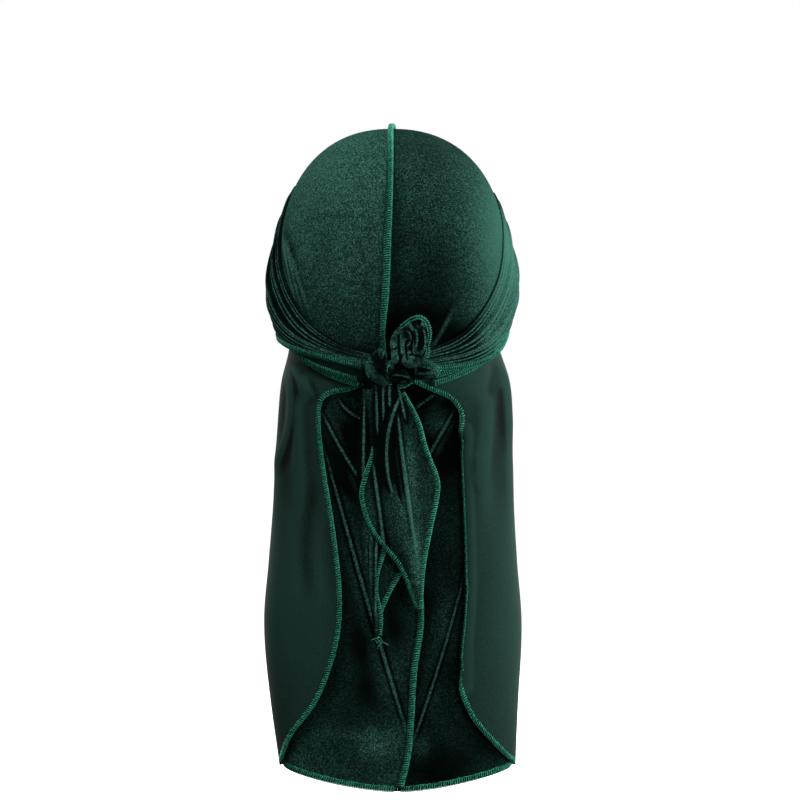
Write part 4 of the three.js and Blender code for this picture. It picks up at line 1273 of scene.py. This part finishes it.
class DURAG_OT_straps(bpy.types.Operator):
    """Add the two pleated straps round the head"""
    bl_idname = "durag.straps"
    bl_label = "Straps"

    def execute(self, context):
        thick = context.scene.durag_sizes.cloth / MM
        for hand, side in HANDS:
            made = cloth(
                f"velvet_strap_{side}",
                [patch(lambda u, v: strap_point(hand, v, u), columns_for(187), columns_for(410))],
                thick / 2, thick / 2, hand > 0, two_sides(), STRAP_PAINTED_SHADE[hand],
            )
            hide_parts(f"strap_{side}")
        return {"FINISHED"}


class DURAG_OT_knot(bpy.types.Operator):
    """Add the two turns of the knot and the loop that stands up from it"""
    bl_idname = "durag.knot"
    bl_label = "Knot"

    def execute(self, context):
        for name in KNOT_PIECES:
            made = closed_body(
                f"velvet_{name}",
                patch(lambda u, v: knot_point(name, np.where(u == 1, 0, u), v), KNOT_COLUMNS, KNOT_ROWS),
                [finish_of(WITH_THE_PILE)], KNOT_PIECES[name]["nap"], KNOT_PIECES[name]["painted_light_side"],
            )
            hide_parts(name)
        return {"FINISHED"}


class DURAG_OT_strap_ends(bpy.types.Operator):
    """Add the two strap ends that hang from the knot"""
    bl_idname = "durag.strap_ends"
    bl_label = "Strap ends"

    def execute(self, context):
        thick = context.scene.durag_sizes.cloth / MM
        for which, width, length, area in (("long", 52, 155, 0.0052), ("short", 30, 170, 0.003)):
            made = cloth(
                f"velvet_strap_end_{which}",
                [patch(lambda u, v: end_point(which, u, v), width * 2, length)]
                + [patch(underlay_point, 20, 40)] * (which == "short"),
                thick / 2, thick / 2, False, two_sides(),
            )
            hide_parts(f"strap_end_{which}")
        return {"FINISHED"}


class DURAG_OT_overlock(bpy.types.Operator):
    """Add the overlock stitches over every cut edge"""
    bl_idname = "durag.overlock"
    bl_label = "Overlock stitches"

    def execute(self, context):
        half = context.scene.durag_sizes.cloth / MM / 2
        margin, hem, root = STITCH_WIDTHS["margin"], STITCH_WIDTHS["hem"], STITCH_WIDTHS["root"]
        long_end, short_end = STITCH_WIDTHS["long_end"], STITCH_WIDTHS["short_end"]
        for hand, side in HANDS:
            def cap_edge(t, d):
                return crown_point(hand, mix(TAIL_FIRST_ANGLE, 3, t), 1 - d)

            overlock(f"overlock_panel_{side}", [
                edge_run(lambda t, d: margin_point(hand, 1 - d, t), 0.02, 1, margin, half, half, hand),
                edge_run(lambda t, d: tail_point(hand, t, 1 - d), 0.01, 1, hem, half, half, -hand),
                edge_run(cap_edge, 0, 1, hem, half, half, -hand),
            ], 11 + hand)
            strap_runs = [edge_run(
                lambda t, d: strap_point(hand, t, 1 - d), 0.02, 0.985, STITCH_WIDTHS["strap"], half, 0, -hand,
            )]
            if hand < 0:
                strap_runs.append(edge_run(
                    lambda t, d: strap_point(hand, t, JOIN_ACROSS - d), JOIN_START, JOIN_END, JOIN_WIDTH,
                    half, 0, -hand,
                ))
            overlock(f"overlock_strap_{side}", strap_runs, 21 + hand)
            overlock(f"overlock_strap_root_{side}", [
                edge_run(lambda t, d: root_point(hand, d, t), 0.02, 0.98, root, ROOT_CLOTH / 2, 0, hand),
                edge_run(lambda t, d: root_point(hand, 1 - d, t), 0.02, 0.98, root, ROOT_CLOTH / 2, 0, -hand),
            ], 31 + hand)
        foot, stand, over, tall, thick = seam_frame(np.linspace(0.002, 0.998, SEAM_EDGE_STATIONS))
        seam_top = foot + stand * tall[:, None]
        overlock("overlock_centre_seam", [
            dict(edge=seam_top, inward=-stand, out=over, width=tall * STITCH_WIDTHS["seam"], half=thick / 2),
        ], 41)
        overlock("overlock_strap_end_long", [
            edge_run(lambda t, d: end_point("long", d, t), 0.27, 0.985, LEAF_EDGE_WIDTH, half, 0, -1),
            edge_run(lambda t, d: end_point("long", 1 - d, t), 0.03, 0.985, long_end, half, 0, 1),
        ], 51)
        overlock("overlock_strap_end_short", [
            edge_run(lambda t, d: end_point("short", 1 - d, t), 0.62, 0.985, short_end, half, 0, 1),
            edge_run(lambda t, d: underlay_point(1 - d, t), 0.02, 0.98, short_end, half, 0, 1),
        ], 52, loose_threads())
        for number, (name, runs) in enumerate(KNOT_STITCHES.items()):
            overlock(f"overlock_{name}", [
                edge_run(lambda t, d: knot_point(name, t, 0.46 - d), start, end, width, half, 0, 1)
                for start, end, width in runs
            ], 53 + number)
        return {"FINISHED"}


class DURAG_PT_panel(bpy.types.Panel):
    """Lists the durag's pieces in the order that they are made"""
    bl_idname = "DURAG_PT_panel"
    bl_label = "Durag"
    bl_space_type = "VIEW_3D"
    bl_region_type = "UI"
    bl_category = "Durag"

    def draw(self, context):
        for group in (context.scene.durag_sizes, context.scene.durag_looks):
            for name in group.__annotations__:
                self.layout.prop(group, name)
        for operator in OPERATORS:
            self.layout.operator(operator.bl_idname)


GROUPS = (DuragSizes, DuragLooks)
OPERATORS = (
    DURAG_OT_stage, DURAG_OT_panels, DURAG_OT_centre_seam, DURAG_OT_strap_roots,
    DURAG_OT_straps, DURAG_OT_knot, DURAG_OT_strap_ends, DURAG_OT_overlock,
)


def register():
    for made in (*GROUPS, *OPERATORS, DURAG_PT_panel):
        bpy.utils.register_class(made)
    bpy.types.Scene.durag_sizes = PointerProperty(type=DuragSizes)
    bpy.types.Scene.durag_looks = PointerProperty(type=DuragLooks)


def unregister():
    del bpy.types.Scene.durag_looks
    del bpy.types.Scene.durag_sizes
    for made in reversed((*GROUPS, *OPERATORS, DURAG_PT_panel)):
        bpy.utils.unregister_class(made)


def main():
    register()
    for operator in OPERATORS:
        group, name = operator.bl_idname.split(".")
        getattr(getattr(bpy.ops, group), name)()


if __name__ == "__main__":
    main()
